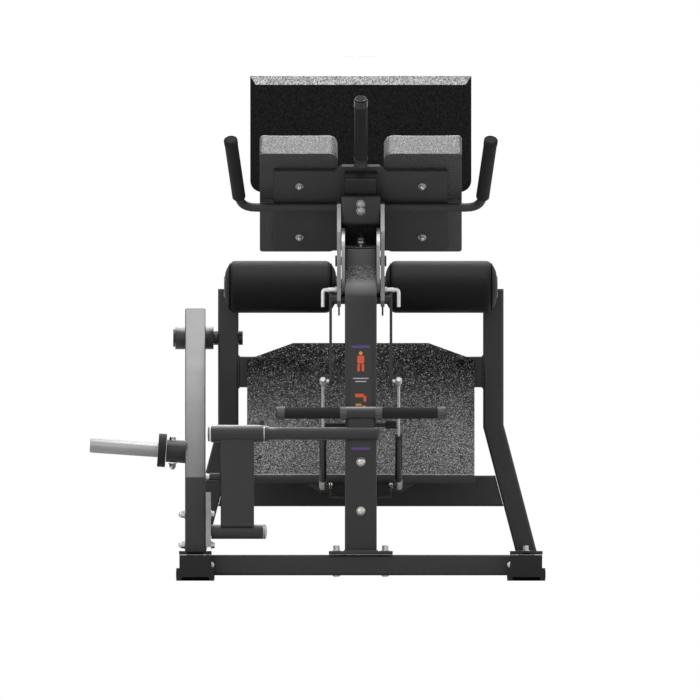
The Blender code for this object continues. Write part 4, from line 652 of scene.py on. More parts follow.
def swell(mesh, name, held, pressure, cap):
    """Rebuild a closed mesh evenly, stuff it, and soften it. held says which points stay where they are."""
    work = bpy.data.objects.new(name + "_work", mesh)
    bpy.context.scene.collection.objects.link(work)
    remesh = work.modifiers.new("voxels", "REMESH")
    remesh.mode = "VOXEL"
    remesh.voxel_size = VOXEL
    even = baked(work)
    work.modifiers.clear()
    work.data = even
    work.data = blown(work, name, held, pressure, cap)
    work.modifiers.clear()
    work.modifiers.new("soften", "SMOOTH").iterations = 3
    divide = work.modifiers.new("divide", "SUBSURF")
    divide.levels = divide.render_levels = 1
    done = baked(work)
    bpy.data.objects.remove(work)
    done.shade_smooth()
    return done


def held_between(value, reach):
    """A value held between plus and minus a reach."""
    return max(-reach, min(reach, value))


PAD_LEAN = math.radians(45)
PAD_WIDTH, PAD_LENGTH, PAD_THICKNESS, PAD_X = 0.227, 0.403, 0.080, 0.1805
PAD_Y, PAD_Z = -0.560, 1.0995


def pad_space(x, rise, out):
    """Local X across, local Y down the pads' back and local Z out of it towards the user."""
    y = PAD_Y - rise * math.cos(PAD_LEAN) + out * math.sin(PAD_LEAN)
    z = PAD_Z + rise * math.sin(PAD_LEAN) + out * math.cos(PAD_LEAN)
    return Matrix.Translation(at(x, y, z)) @ Matrix.Rotation(-PAD_LEAN, 4, "X")


print("pads stand at", [round(v, 3) for v in pad_space(0, 0, 0).translation])

# %% [markdown]
# The pads' outline is a rectangle whose two inner corners are cut to a wider curve, so that they leave
# room for the user's middle. The outline is pushed through the pad's thickness a little oversize, swelled,
# creased where the cover is stapled to the board, and then pressed flat on its six sides, as firm foam in
# a tight cover is.

# %% Hip pads
BOARD, PAD_GAP = 0.006, 0.0004
INNER_CORNER, OUTER_CORNER, PAD_EDGE, OVERSIZE = 0.030, 0.010, 0.004, 0.0020
CREASE_DEPTH, CREASE_WIDTH = 0.0014, 0.0028
PAD_PRESSURE, PAD_CAP = 2.5, 0.0030
NEAR_EDGE, INSIDE_EDGE, BACK_DEPTH = 0.9, 0.93, 0.004


def pad_mesh(name, sign):
    """One pad in its own space, with Z = 0 on the plate it is bolted to."""
    half_x, half_y = PAD_WIDTH / 2, PAD_LENGTH / 2
    left, right = (OUTER_CORNER, INNER_CORNER) if sign < 0 else (INNER_CORNER, OUTER_CORNER)
    outline = rounded_outline(half_x + OVERSIZE, half_y + OVERSIZE, (left, right, right, left), 6)
    block = slab(name + "_block", outline, -OVERSIZE, PAD_THICKNESS + OVERSIZE, Matrix(), PAD_EDGE, 4)
    puffed = swell(block, name, lambda co: co.z < BOARD, PAD_PRESSURE, PAD_CAP)
    for vert in puffed.vertices:
        co = vert.co
        across, down = abs(co.x) / half_x, abs(co.y) / half_y
        crease = CREASE_DEPTH * math.exp(-((co.z - BOARD) / CREASE_WIDTH) ** 2)
        if max(across, down) > NEAR_EDGE:
            co.x -= math.copysign(crease * min(1, across ** 8), co.x)
            co.y -= math.copysign(crease * min(1, down ** 8), co.y)
        if co.z < BACK_DEPTH and max(across, down) < INSIDE_EDGE:
            co.z = PAD_GAP
        co.x, co.y = held_between(co.x, half_x), held_between(co.y, half_y)
        co.z = max(PAD_GAP, min(PAD_THICKNESS, co.z))
    puffed.transform(pad_space(sign * PAD_X, 0, 0))
    return puffed


for side, sign in SIDES:
    name = f"hip_cushion_{side}"
    hip_pad = piece(name, pad_mesh(name, sign), PAD_LEATHERETTE, "carriage", (f"hip_pad_{side}",))
    print("hip cushion", side, "has", len(hip_pad.data.polygons), "faces")

# %% [markdown]
# A leg roller is a foam tube in the same leatherette, sewn shut at each end with a ring seam 17 mm from
# the end. It starts as a lathe shape with a bore for its axle. After it is swelled, the seam is drawn in
# by moving the points near it towards the axis, as the thread does, and a thin near-black ring laid in
# the groove paints its shade along the line of the thread.

# %% Leg rollers
ROLLER_RADIUS, ROLLER_HALF, ROLLER_BORE, ROLLER_SPARE = 0.077, 0.1635, 0.0137, 0.0010
ROLLER_X, ROLLER_Y, ROLLER_Z = 0.2335, 0.098, 0.8553
SEAM_INSET, SEAM_DEPTH, SEAM_WIDTH = 0.0170, 0.0028, 0.0026
ROLLER_CORE, ROLLER_PRESSURE, ROLLER_CAP = 0.034, 3.0, 0.0024
BARREL_FROM, BORE_WALL = 0.055, 0.004
DOME = ((0.036, 0.0005), (0.048, 0.0035), (0.058, 0.0085), (0.066, 0.0135))
SHOULDER = ((0.0035, 0.0190), (0.0010, 0.0240), (0.0, 0.0290))
# The profile of a near-black ring that paints the shade in each seam's groove.
SEAM_SHADE_RING = [(0.0664, 0.1478), (0.0684, 0.1462), (0.0694, 0.1474), (0.0676, 0.1492), (0.0664, 0.1478)]


def roller_profile(radius, half):
    """Radius and height from the bore's end over the domed end to the middle, and back."""
    end = [(ROLLER_BORE, half)] + [(reach, half - inset) for reach, inset in DOME]
    end += [(radius - inside, half - inset) for inside, inset in SHOULDER]
    return end + [(r, -z) for r, z in reversed(end)] + [end[0]]


def roller_mesh(name, sign):
    """One roller along X, in its own place."""
    profile = roller_profile(ROLLER_RADIUS - ROLLER_SPARE, ROLLER_HALF - ROLLER_SPARE)
    start = lathe(name + "_tube", profile, (0, 0, 0), UP, 48)
    puffed = swell(start, name, lambda co: math.hypot(co.x, co.y) < ROLLER_CORE, ROLLER_PRESSURE, ROLLER_CAP)
    for vert in puffed.vertices:
        co = vert.co
        reach = math.hypot(co.x, co.y)
        scale = 1.0
        if reach > BARREL_FROM:
            inset = ROLLER_HALF - abs(co.z)
            seam = SEAM_DEPTH * math.exp(-((inset - SEAM_INSET) / SEAM_WIDTH) ** 2)
            scale = min(reach - seam, ROLLER_RADIUS) / reach
        elif reach < ROLLER_BORE + BORE_WALL:
            scale = max(reach, ROLLER_BORE) / reach
        co.x, co.y, co.z = co.x * scale, co.y * scale, held_between(co.z, ROLLER_HALF)
    puffed.transform(frame_of(at(sign * ROLLER_X, ROLLER_Y, ROLLER_Z), RIGHT))
    return puffed


for side, sign in SIDES:
    name, body = f"leg_cushion_{side}", f"leg_roller_{side}"
    roller = piece(name, roller_mesh(name, sign), LEATHERETTE, body, (f"roller_{side}",))
    # A near-black ring in each seam's groove paints its shade along the line of the thread.
    for end in (-1, 1):
        turned(f"cushion_seam_shade_{side}_{'outer' if end == sign else 'inner'}", SEAM_SHADE_RING,
               at(sign * ROLLER_X, ROLLER_Y, ROLLER_Z), (end, 0, 0), SHADE_BLACK, body, 64)
    print("leg cushion", side, "has", len(roller.data.polygons), "faces")

# %% [markdown]
# A plastic disc closes the hole in each end of a roller round its axle. It is a flat ring with a rounded
# rim, pushed a few millimetres into the cover.

# %% Roller end discs
DISC = [(0.0138, -0.004), (0.030, -0.004), (0.0325, -0.0015), (0.0325, 0.0005), (0.028, 0.0022),
        (0.0138, 0.0022), (0.0138, -0.004)]
for side, sign in SIDES:
    for number, end in enumerate((-1, 1)):
        place = at(sign * ROLLER_X + end * (ROLLER_HALF - 0.001), ROLLER_Y, ROLLER_Z)
        turned(f"roller_disc_{side}_{number}", DISC, place, (end, 0, 0), HARD_PLASTIC,
               f"leg_roller_{side}", 40)
print("four roller discs")

# %% [markdown]
# A hip extension machine is held together by dozens of bolts, and they differ only in shape and size. One
# Geometry Nodes tree makes a head: a washer, a prism with six sides or round, a chamfer and a dome, all
# with named sizes. It is put on every point of a small mesh, turned by the point's own direction. The
# same tree so gives hex bolts, round button heads and domed nuts. Copies are made real at the end,
# because an exported model drops instances.

# %% Tree for bolt heads
FLOAT, WHOLE, STUFF = "NodeSocketFloat", "NodeSocketInt", "NodeSocketMaterial"
# The hexagons' corners point to an odd side, because nobody lines up a bolt.
SEED_SIDE = (0.966, 0.259, 0.13)
CHAMFERED, DOME_SEGMENTS, DOME_RINGS, WASHER_SIDES = 0.86, 16, 8, 24


def new_tree(name, sizes):
    """A geometry tree with a geometry input, named sizes, a finish and a geometry output."""
    tree = bpy.data.node_groups.new(name, "GeometryNodeTree")
    tree.interface.new_socket("Geometry", in_out="INPUT", socket_type="NodeSocketGeometry")
    for label, (kind, value) in sizes.items():
        tree.interface.new_socket(label, in_out="INPUT", socket_type=kind).default_value = value
    tree.interface.new_socket("Finish", in_out="INPUT", socket_type=STUFF)
    tree.interface.new_socket("Geometry", in_out="OUTPUT", socket_type="NodeSocketGeometry")
    return tree, add(tree, "NodeGroupInput").outputs


def vector_of(tree, **parts):
    """A vector from its X, Y and Z."""
    return add(tree, "ShaderNodeCombineXYZ", parts).outputs[0]


def primitive(tree, kind, **sizes):
    """One of the mesh primitives, with its sizes named with _ for a space."""
    sizes = {word.replace("_", " "): value for word, value in sizes.items()}
    return add(tree, "GeometryNodeMesh" + kind, sizes).outputs["Mesh"]


def placed(tree, shape, **how):
    """A shape with a Translation or a Scale."""
    return add(tree, "GeometryNodeTransform", {"Geometry": shape, **how}).outputs[0]


def smoothed(tree, shape):
    return add(tree, "GeometryNodeSetShadeSmooth", {"Geometry": shape}).outputs[0]


def seed_turn(tree):
    """The turn that every seed carries."""
    turn = add(tree, "GeometryNodeInputNamedAttribute", {"Name": "turn"}, data_type="QUATERNION")
    return turn.outputs["Attribute"]


def planted(tree, given, points, shape, **how):
    """End a tree: put a shape on every point, make the copies real and give them their finish."""
    spread = add(tree, "GeometryNodeInstanceOnPoints", {"Points": points, "Instance": shape, **how})
    real = add(tree, "GeometryNodeRealizeInstances", {"Geometry": spread.outputs[0]})
    done = add(tree, "GeometryNodeSetMaterial", {"Geometry": real.outputs[0], "Material": given["Finish"]})
    add(tree, "NodeGroupOutput", {"Geometry": done.outputs[0]})
    return tree


def bolt_tree():
    tree, given = new_tree("bolt_heads", {
        "Sides": (WHOLE, 6), "Head Radius": (FLOAT, 0.009), "Head Height": (FLOAT, 0.007),
        "Chamfer": (FLOAT, 0.0012), "Dome": (FLOAT, 0.0005), "Washer Radius": (FLOAT, 0.012),
        "Washer Height": (FLOAT, 0.002)})
    radius, height, under = given["Head Radius"], given["Head Height"], given["Washer Height"]
    top = maths(tree, "ADD", under, height)
    narrow = maths(tree, "MULTIPLY", radius, CHAMFERED)
    washer = primitive(tree, "Cylinder", Vertices=WASHER_SIDES, Radius=given["Washer Radius"], Depth=under)
    prism = primitive(tree, "Cylinder", Vertices=given["Sides"], Radius=radius, Depth=height)
    cone = primitive(tree, "Cone", Vertices=given["Sides"], Radius_Top=narrow, Radius_Bottom=radius,
                     Depth=given["Chamfer"])
    ball = primitive(tree, "UVSphere", Segments=DOME_SEGMENTS, Rings=DOME_RINGS, Radius=1.0)
    crown = vector_of(tree, Z=maths(tree, "ADD", top, given["Chamfer"]))
    dome = placed(tree, ball, Translation=crown, Scale=vector_of(tree, X=narrow, Y=narrow, Z=given["Dome"]))
    head = add(tree, "GeometryNodeJoinGeometry")
    prism_middle = maths(tree, "ADD", under, maths(tree, "MULTIPLY", height, 0.5))
    for shape, lift in ((washer, maths(tree, "MULTIPLY", under, 0.5)), (prism, prism_middle), (cone, top)):
        tree.links.new(placed(tree, shape, Translation=vector_of(tree, Z=lift)), head.inputs[0])
    tree.links.new(smoothed(tree, dome), head.inputs[0])
    return planted(tree, given, given["Geometry"], head.outputs[0], Rotation=seed_turn(tree))


def grown(name, seeds, tree, sizes, body):
    """Run a geometry tree on a mesh of points, keep the result as a plain mesh, and let it ride."""
    made = bpy.data.objects.new(name, seeds)
    bpy.context.scene.collection.objects.link(made)
    modifier = made.modifiers.new("grow", "NODES")
    modifier.node_group = tree
    names = {item.name: item.identifier for item in tree.interface.items_tree if item.in_out == "INPUT"}
    for label, value in sizes.items():
        modifier[names[label]] = value
    made.data = baked(made)
    made.modifiers.clear()
    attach(made, body)


def seeds_at(name, places, side=SEED_SIDE):
    """A mesh of points, each with the turn that points its Z along a direction and its X to a side."""
    mesh = bpy.data.meshes.new(name)
    mesh.from_pydata([tuple(place) for place, _ in places], [], [])
    turn = mesh.attributes.new("turn", "QUATERNION", "POINT")
    for number, (_, way) in enumerate(places):
        turn.data[number].value = frame_of((0, 0, 0), way, side).to_quaternion()
    return mesh


BOLTS = bolt_tree()
HEX = {"Sides": 6, "Head Radius": 0.0095, "Head Height": 0.0065, "Chamfer": 0.0012, "Dome": 0.0004,
       "Washer Radius": 0.0118, "Washer Height": 0.0022, "Finish": BRIGHT_BOLT}
BUTTON = {**HEX, "Sides": 24, "Head Radius": 0.0125, "Head Height": 0.0012, "Chamfer": 0.0012,
          "Dome": 0.0045, "Washer Radius": 0.0130, "Washer Height": 0.0016}
ACORN = {**HEX, "Head Radius": 0.0100, "Head Height": 0.0080, "Chamfer": 0.0010, "Dome": 0.0085,
         "Washer Radius": 0.0125}
print("bolt tree has", len(BOLTS.nodes), "nodes")

# %% [markdown]
# With the tree ready, each bolt is only a point and a direction. They are gathered by body and by kind:
# bolts through the flanges stand upright, those on the post and the foot plate face the user, and the ones
# on the pads' plate point back and down, square to the sloping plate.

# %% Bolts
SLOPE_OUT, PAD_BEHIND = Vector((0, -1, 1)).normalized(), Vector((0, -1, -1)).normalized()
PLATE_MIDDLE_Y, PLATE_MIDDLE_Z = -0.160, 0.311
FOOT_Y = {"front": -0.792, "rear": 0.472}
HORN_Y, HORN_BOLT_X, LEVER_SIDE_X = -0.5826, -0.5478, -0.4512
BEAM_BOLT_Z, LEVER_BOLT_Z, STOP_TUBE_Z = (0.346, 0.203), (0.1930, 0.1040), 0.302
PAD_PLATE_BACK, FLANGE_BOLT_X = -0.0093, 0.071


def on_foot_plate(x, z):
    """A bolt on the sloping foot plate at a height."""
    return at(x, PLATE_MIDDLE_Y + (z - PLATE_MIDDLE_Z), z), SLOPE_OUT


def on_pad_plate(x, z):
    """A bolt on the back of the pads' plate, at the height where the camera sees it."""
    rise = (z - PAD_Z - PAD_PLATE_BACK * math.cos(PAD_LEAN)) / math.sin(PAD_LEAN)
    return pad_space(x, rise, PAD_PLATE_BACK).translation, PAD_BEHIND


flange_places = [(at(sx * x, y + dy, FLANGE_TOP), UP)
                 for x, y, half in ((FLANGE_BOLT_X, POST_Y, 0.028), (RAIL_X, UPRIGHT_Y, 0.0387))
                 for sx in (-1, 1) for dy in (-half, half)]
plate_places = [on_foot_plate(x, z) for x in (-0.2925, 0.2925) for z in (0.6469, 0.3632)]
plate_places += [on_foot_plate(x, 0.6353) for x in (-0.171, 0.171)]
lever_places = [(at(-0.4362, LEVER_END_Y, z), RIGHT) for z in LEVER_BOLT_Z]
lever_places += [(at(LEVER_SIDE_X, LEVER_END_Y, STOP_TUBE_Z), RIGHT), (at(HORN_BOLT_X, HORN_Y, 0.4075), UP)]
acorn_places = [(at(-0.5115, LEVER_END_Y, z), LEFT) for z in LEVER_BOLT_Z]
acorn_places += [(at(HORN_BOLT_X, HORN_Y, 0.3425), DOWN)]
bolt_sets = (
    ("flange_bolts", "frame", {**HEX, "Head Height": 0.0125}, flange_places),
    ("flange_nuts", "frame", {**HEX, "Head Height": 0.0010, "Washer Height": 0.0012},
     [(at(sx * FLANGE_BOLT_X, POST_Y + dy, 0.0157), DOWN) for sx in (-1, 1) for dy in (-0.018, 0.018)]),
    ("post_bolts", "frame", BUTTON, [(at(0, POST_FRONT_Y, z), FRONT) for z in BEAM_BOLT_Z]),
    ("foot_domes", "frame", {**BUTTON, "Head Radius": 0.0092, "Washer Radius": 0.0096, "Finish": NYLON},
     [(at(sx * (RAIL_X - 0.0465), y, 0.046), (-sx, 0, 0)) for sx in (-1, 1) for y in FOOT_Y.values()]),
    ("foot_plate_bolts", "frame",
     {**BUTTON, "Head Radius": 0.0062, "Dome": 0.0028, "Washer Radius": 0.0078, "Finish": NICKEL},
     plate_places),
    ("beam_nuts", "frame", ACORN, [(at(0, POST_Y + TUBE_HALF + 0.0111, z), BACK) for z in BEAM_BOLT_Z]),
    ("pad_plate_bolts", "carriage", {**HEX, "Head Radius": 0.0082, "Head Height": 0.0070, "Dome": 0.0030},
     [on_pad_plate(x, z) for x in (-0.1785, 0.1785) for z in (1.1489, 1.0005)]),
    ("head_bolts", "carriage", {**HEX, "Head Radius": 0.0115, "Head Height": 0.0075, "Dome": 0.003,
                                "Washer Radius": 0.0130, "Finish": SATIN_STEEL},
     [(at(0, -0.6552, z), FRONT) for z in (1.0955, 1.0765)]),
    ("lever_bolts", "lever", {**HEX, "Head Height": 0.0075}, lever_places),
    ("lever_acorn_nuts", "lever", ACORN, acorn_places))
for name, body, kind, places in bolt_sets:
    grown(name, seeds_at(name, places), BOLTS, kind, body)
print("bolts on", sum(len(places) for _, _, _, places in bolt_sets), "points")

# %% [markdown]
# Square tube is sold open, and its ends are closed with plastic caps that push in: a flat lid with a
# rounded edge and a plug behind it. Each cap here is a rounded slab that stands a few millimetres proud of
# its tube. The lever's cap slopes with its tube, and the uprights' caps lie level.

# %% End caps
LID_GAP, LID, WALL, PLUG_LOW, PLUG_HIGH = 0.0002, 0.0035, 0.0034, -0.014, 0.0004
UPRIGHT_TOP, MAST_HALF, MAST_REACH, CAD_LEVER_BEND_Z = 0.846, 0.0465, 0.098, 0.295


def tube_cap(name, place, axis, half_x, body):
    """A lid over the end of a tube, with a plug that reaches into it."""
    matrix = frame_of(place, axis, RIGHT)
    lid = slab(name, rounded_outline(half_x, TUBE_HALF, 0.006, 4), LID_GAP, LID, matrix, 0.0012)
    inside = rounded_outline(half_x - WALL, TUBE_HALF - WALL, 0.004, 3)
    plug = slab(name + "_plug", inside, PLUG_LOW, PLUG_HIGH, matrix)
    piece(name, joined(name, (lid, plug)), HARD_PLASTIC, body)


for side, sign in SIDES:
    tube_cap(f"upright_cap_{side}", at(sign * UPRIGHT_X, UPRIGHT_Y, UPRIGHT_TOP), UP, TUBE_HALF, "frame")
# The cap keeps the slope of the CAD lever, whose bend lies 13 mm higher than the bend of the one below.
lever_way = Vector((0, UPRIGHT_Y - LEVER_END_Y, LEVER_PIVOT_Z - CAD_LEVER_BEND_Z)).normalized()
lever_tail = at(-RAIL_X, UPRIGHT_Y, LEVER_PIVOT_Z) + lever_way * LEVER_TAIL
tube_cap("lever_cap", lever_tail, lever_way, TUBE_HALF, "lever")
mast_way = tilted(-MAST_LEAN)
tube_cap("mast_cap", at(0, MAST_Y, MAST_BEND_Z) + mast_way * MAST_REACH, mast_way, MAST_HALF, "frame")
print("caps on both uprights, the lever and the mast")

# %% [markdown]
# The label on the post is a printed film on a thin aluminium plate. Here it is a generic one: a dark
# panel with a purple bar near each end, and between them a plain figure, rules and tiles in orange, amber
# and grey that mean nothing in particular. Each shape is a thin slab of its own, a fraction of a
# millimetre proud of the panel, so that its edges stay sharp from any distance.

# %% Label plate
FILM_GAP, FILM_BASE, LAYER = 0.00005, 0.0003, 0.00015


def make_film(name, colour):
    """Satin printed film, slightly uneven in gloss."""
    made, tree, shader, coords = new_material(name, colour, 0.35)
    feed(shader, Roughness=ranged(tree, noise(tree, coords, 0.02)["Fac"], 0, 1, 0.28, 0.42))
    return made


INKS = (("dark", "#1d1d1d"), ("purple", "#5a3a8c"), ("orange", "#e0582c"), ("amber", "#e7a13a"),
        ("pale", "#bababa"))
FILMS = {word: make_film(f"{word}_label_film", tone) for word, tone in INKS}


def label_shape(name, colour, x, z, half_x, half_z, radius, layers=2):
    """A rounded film shape on the post's front, that stands out by a number of layers."""
    cut(f"label_{name}", rounded_outline(half_x, half_z, radius, 4), FILM_GAP, LAYER * layers + FILM_BASE,
        frame_of(at(x, POST_FRONT_Y, z), FRONT, RIGHT), FILMS[colour], "frame", slot="frame")


label_shape("panel", "dark", 0.0, 0.5365, 0.0305, 0.1555, 0.003, 1)
shapes = (("bar_top", "purple", 0.0, 0.6810, 0.0265, 0.0033, 0.0006),
          ("bar_bottom", "purple", 0.0, 0.3845, 0.0265, 0.0033, 0.0006),
          ("disc", "amber", 0.0, 0.6625, 0.0052, 0.0052, 0.0051),
          ("body", "orange", 0.0, 0.6440, 0.0100, 0.0115, 0.004),
          ("leg_left", "orange", -0.0062, 0.6205, 0.0036, 0.0105, 0.0016),
          ("leg_right", "orange", 0.0062, 0.6205, 0.0036, 0.0105, 0.0016),
          ("rule_wide", "pale", 0.0, 0.5890, 0.0225, 0.0016, 0.0007),
          ("rule_narrow", "pale", 0.0, 0.5800, 0.0160, 0.0016, 0.0007),
          ("block", "orange", -0.0035, 0.5390, 0.0130, 0.0050, 0.0015),
          ("peg", "orange", 0.0120, 0.5300, 0.0040, 0.0085, 0.0015),
          ("slope", "amber", -0.0065, 0.5120, 0.0085, 0.0035, 0.0015),
          ("tile", "amber", 0.0095, 0.5050, 0.0048, 0.0048, 0.0015),
          ("rule_low", "pale", 0.0, 0.4790, 0.0185, 0.0013, 0.0006),
          ("tile_low", "orange", 0.0, 0.4480, 0.0090, 0.0090, 0.0030),
          ("rule_last", "pale", 0.0, 0.4180, 0.0185, 0.0013, 0.0006))
for shape in shapes:
    label_shape(*shape)
print("label with", len(shapes) + 1, "shapes")

# %% [markdown]
# The upright foot board is a shallow tray pressed from sheet: its top edge leans back as a bevel that
# catches the ceiling light, and its sides lean a little too, so the corners are mitred. The bevel is the
# one place where the outline's flat CAD plate is too plain. The board here is built from three loops of
# points, front face, rim and back, which gives the mitres for free. Its upward faces get a lighter copy of
# the grit, painted light for the light that the bevel catches. The sloping foot plate gets its lip, and a
# thin pale strip along its folded edge as a painted highlight.

# %% Upper foot board
BOARD_HALF, BOARD_LOW, BOARD_TOP, BOARD_FRONT = 0.3218, 1.131, 1.469, 0.186
RIM_DEPTH, BOARD_DEPTH = 0.0125, 0.018


def board_loop(side_in, top_in, low_in, depth, corner):
    """A loop of the board's outline at a depth, drawn in from the sides, the top and the bottom."""
    half, low, top = BOARD_HALF - side_in, BOARD_LOW + low_in, BOARD_TOP - top_in
    points = []
    for sx, start in ((1, 270), (-1, 180)):
        for step in range(7):
            angle = math.radians(start + 15 * step)
            points.append((sx * (half - corner) + corner * math.cos(angle),
                           low + corner + corner * math.sin(angle)))
        if sx > 0:
            points += [(half, top), (-half, top)]
    return [at(x, BOARD_FRONT + depth, z) for x, z in points]


def lofted(name, loops):
    """Skin a stack of loops with the same count of points, and close both ends."""
    bm = bmesh.new()
    rings = [[bm.verts.new(point) for point in loop] for loop in loops]
    count = len(rings[0])
    for lower, upper in zip(rings, rings[1:]):
        for i in range(count):
            bm.faces.new((lower[i], lower[(i + 1) % count], upper[(i + 1) % count], upper[i]))
    bm.faces.new(rings[0][::-1])
    bm.faces.new(rings[-1])
    return closed_mesh(name, bm, smooth=False)


board = lofted("upper_board", [board_loop(0.0165, 0.0255, 0.0030, 0.0, 0.030),
                               board_loop(0.0, 0.0, 0.0, RIM_DEPTH, 0.034),
                               board_loop(0.0, 0.0, 0.0, BOARD_DEPTH, 0.034)])
piece("upper_board", board, BOARD_GRIT, "frame", ("upper_foot_board",))
board.materials.append(LIT_BEVEL_GRIT)
board.materials.append(POWDER_COAT)
# Upward-leaning faces, the top bevel, take the lighter grit as painted light; the back takes the coat.
for face in board.polygons:
    face.material_index = 2 if face.normal.y > 0.5 else 1 if face.normal.z > 0.4 else 0
lip_place = frame_of(at(0, PLATE_MIDDLE_Y, PLATE_MIDDLE_Z), UP, RIGHT)
# Under the foot plate's folded edge hangs a coated lip, and a thin zinc strip just above it paints the
# highlight along the folded edge.
for name, thick, low, high, finish, bevel in (("lip", 0.0040, -0.0262, -0.0036, POWDER_COAT, 0.0008),
                                              ("fold_highlight", 0.0042, -0.0035, -0.0003, ZINC_PLATE, 0.0010)):
    cut(f"foot_plate_{name}", box_outline(0.331, -thick, 0.0), low, high, lip_place, finish, "frame", bevel)
print("upper board has", len(board.polygons), "faces")

# %% [markdown]
# The centre post is pressed round a former where it leans back, which leaves a soft band of light across
# its front, while its back stays tight in the corner. A side outline shows both at once, so the post is
# that outline pushed across the machine. The weight lever is cut and welded at a sharp mitre instead, so
# its outline has plain corners. Both replace their plainer CAD solids.

# %% Post and lever from their side outlines
def fillet(corner, before, after, radius, steps=8):
    """Round a corner of an outline: arc points from the side of one neighbour to the other."""
    corner, before, after = Vector(corner), Vector(before), Vector(after)
    u, v = (before - corner).normalized(), (after - corner).normalized()
    half = u.angle(v) / 2
    centre = corner + (u + v).normalized() * radius / math.sin(half)
    start, end = (corner + way * radius / math.tan(half) - centre for way in (u, v))
    turn = start.angle_signed(end)
    return [centre + Matrix.Rotation(-turn * step / steps, 2) @ start for step in range(steps + 1)]


def side_matrix(x):
    """Turns an outline of (Y, Z) points into a slab across the machine, centred on X."""
    return Matrix.Translation(at(x, 0, 0)) @ Matrix(((0, 0, 1, 0), (1, 0, 0, 0), (0, 1, 0, 0), (0, 0, 0, 1)))


POST_LEAN, POST_FOOT_Z, POST_BEND_Z, POST_TOP_Z = math.radians(25), 0.0840, 0.815, 0.955
post_back_y, bend_rise = POST_Y + TUBE_HALF, TUBE_HALF * math.tan(POST_LEAN / 2)
post_end = Vector((POST_Y + (POST_TOP_Z - POST_BEND_Z) * math.tan(POST_LEAN), POST_TOP_Z))
to_front = Vector((-math.cos(POST_LEAN), math.sin(POST_LEAN))) * TUBE_HALF
front_low, front_bend = (POST_FRONT_Y, POST_FOOT_Z), (POST_FRONT_Y, POST_BEND_Z + bend_rise)
post_outline = [front_low, (post_back_y, POST_FOOT_Z), (post_back_y, POST_BEND_Z - bend_rise),
                post_end - to_front, post_end + to_front,
                *fillet(front_bend, post_end + to_front, front_low, 0.055)]
# The post's coat adds a painted highlight across the bend to the light that the rounded front catches.
cut("post_tube", post_outline, -POST_HALF, POST_HALF, side_matrix(0), POST_COAT, "frame", 0.0045, 3,
    ("centre_post",))
cut("post_flange", rounded_outline(0.093, 0.046, 0.004, 3), 0.0760, FLANGE_TOP,
    Matrix.Translation(at(0, POST_Y, 0)), POWDER_COAT, "frame", 0.0012)

bend, pivot = Vector((LEVER_END_Y, LEVER_BEND_Z)), Vector((UPRIGHT_Y, LEVER_PIVOT_Z))
along = (pivot - bend).normalized()
to_top = Vector((-along.y, along.x)) * TUBE_HALF
tail = pivot + along * LEVER_TAIL


def on_wall(y, corner):
    """The point at a given Y of the lever's sloping wall that runs through a corner."""
    return (y, corner.y + (y - corner.x) * along.y / along.x)


lever_front, lever_back = LEVER_END_Y - TUBE_HALF, LEVER_END_Y + TUBE_HALF
lever_outline = [(lever_front, 0.0815), (lever_back, 0.0815), on_wall(lever_back, bend - to_top),
                 tail - to_top, tail + to_top, on_wall(lever_front, bend + to_top)]
cut("lever_tube", lever_outline, -TUBE_HALF, TUBE_HALF, side_matrix(-RAIL_X), POWDER_COAT, "lever", 0.0040, 3,
    ("weight_arm",))
for name, near, far in (("outer", 0.0300, 0.0585), ("inner", -0.0300, -0.0531)):
    turned(f"lever_hub_{name}", [(0.0157, near), (0.0330, near), (0.0330, far * 0.96), (0.0315, far),
                                 (0.0157, far), (0.0157, near)],
           at(-RAIL_X, UPRIGHT_Y, LEVER_PIVOT_Z), LEFT, HUB_COAT, "lever", 40)
print("post, lever and its hub")

# %% [markdown]
# The horn that carries the weight plates is a satin steel bar in a black welded hub, with a black flange
# that stops the plates. It rises 4 degrees so that plates don't slide off. One lathe profile for each
# keeps their finishes apart.

# %% Horn
HORN_RISE = math.radians(4)
HORN_WAY = (-math.cos(HORN_RISE), 0, math.sin(HORN_RISE))
horn_base = at(-0.5118, HORN_Y, 0.375)
turned("horn_bar", [(0, 0.0790), (0.0212, 0.0790), (0.0212, 0.2735), (0.0200, 0.2762), (0.0172, 0.2769),
                    (0, 0.2769)], horn_base, HORN_WAY, SATIN_STEEL, "lever", 48, ("weight_horn",))
turned("horn_flange", [(0, 0.0550), (0.0470, 0.0550), (0.0485, 0.0565), (0.0485, 0.0770), (0.0470, 0.0786),
                       (0, 0.0786)], horn_base, HORN_WAY, FOOT_RUBBER, "lever", 56)
turned("horn_hub", [(0, -0.0030), (0.0330, -0.0030), (0.0330, 0.0540), (0, 0.0546)], horn_base, HORN_WAY,
       POWDER_COAT, "lever", 48)
print("horn bar, flange and hub")

# %% [markdown]
# The lower ends of the gas springs sit in bright ball sockets, and so do the tops of their rods. Other
# trim is turned as well: the snap ring and white caps of the swing arm, the collars on the pull pins and
# grips, the sleeve on the rest bar. Profiles in a list keep all of them in one loop.

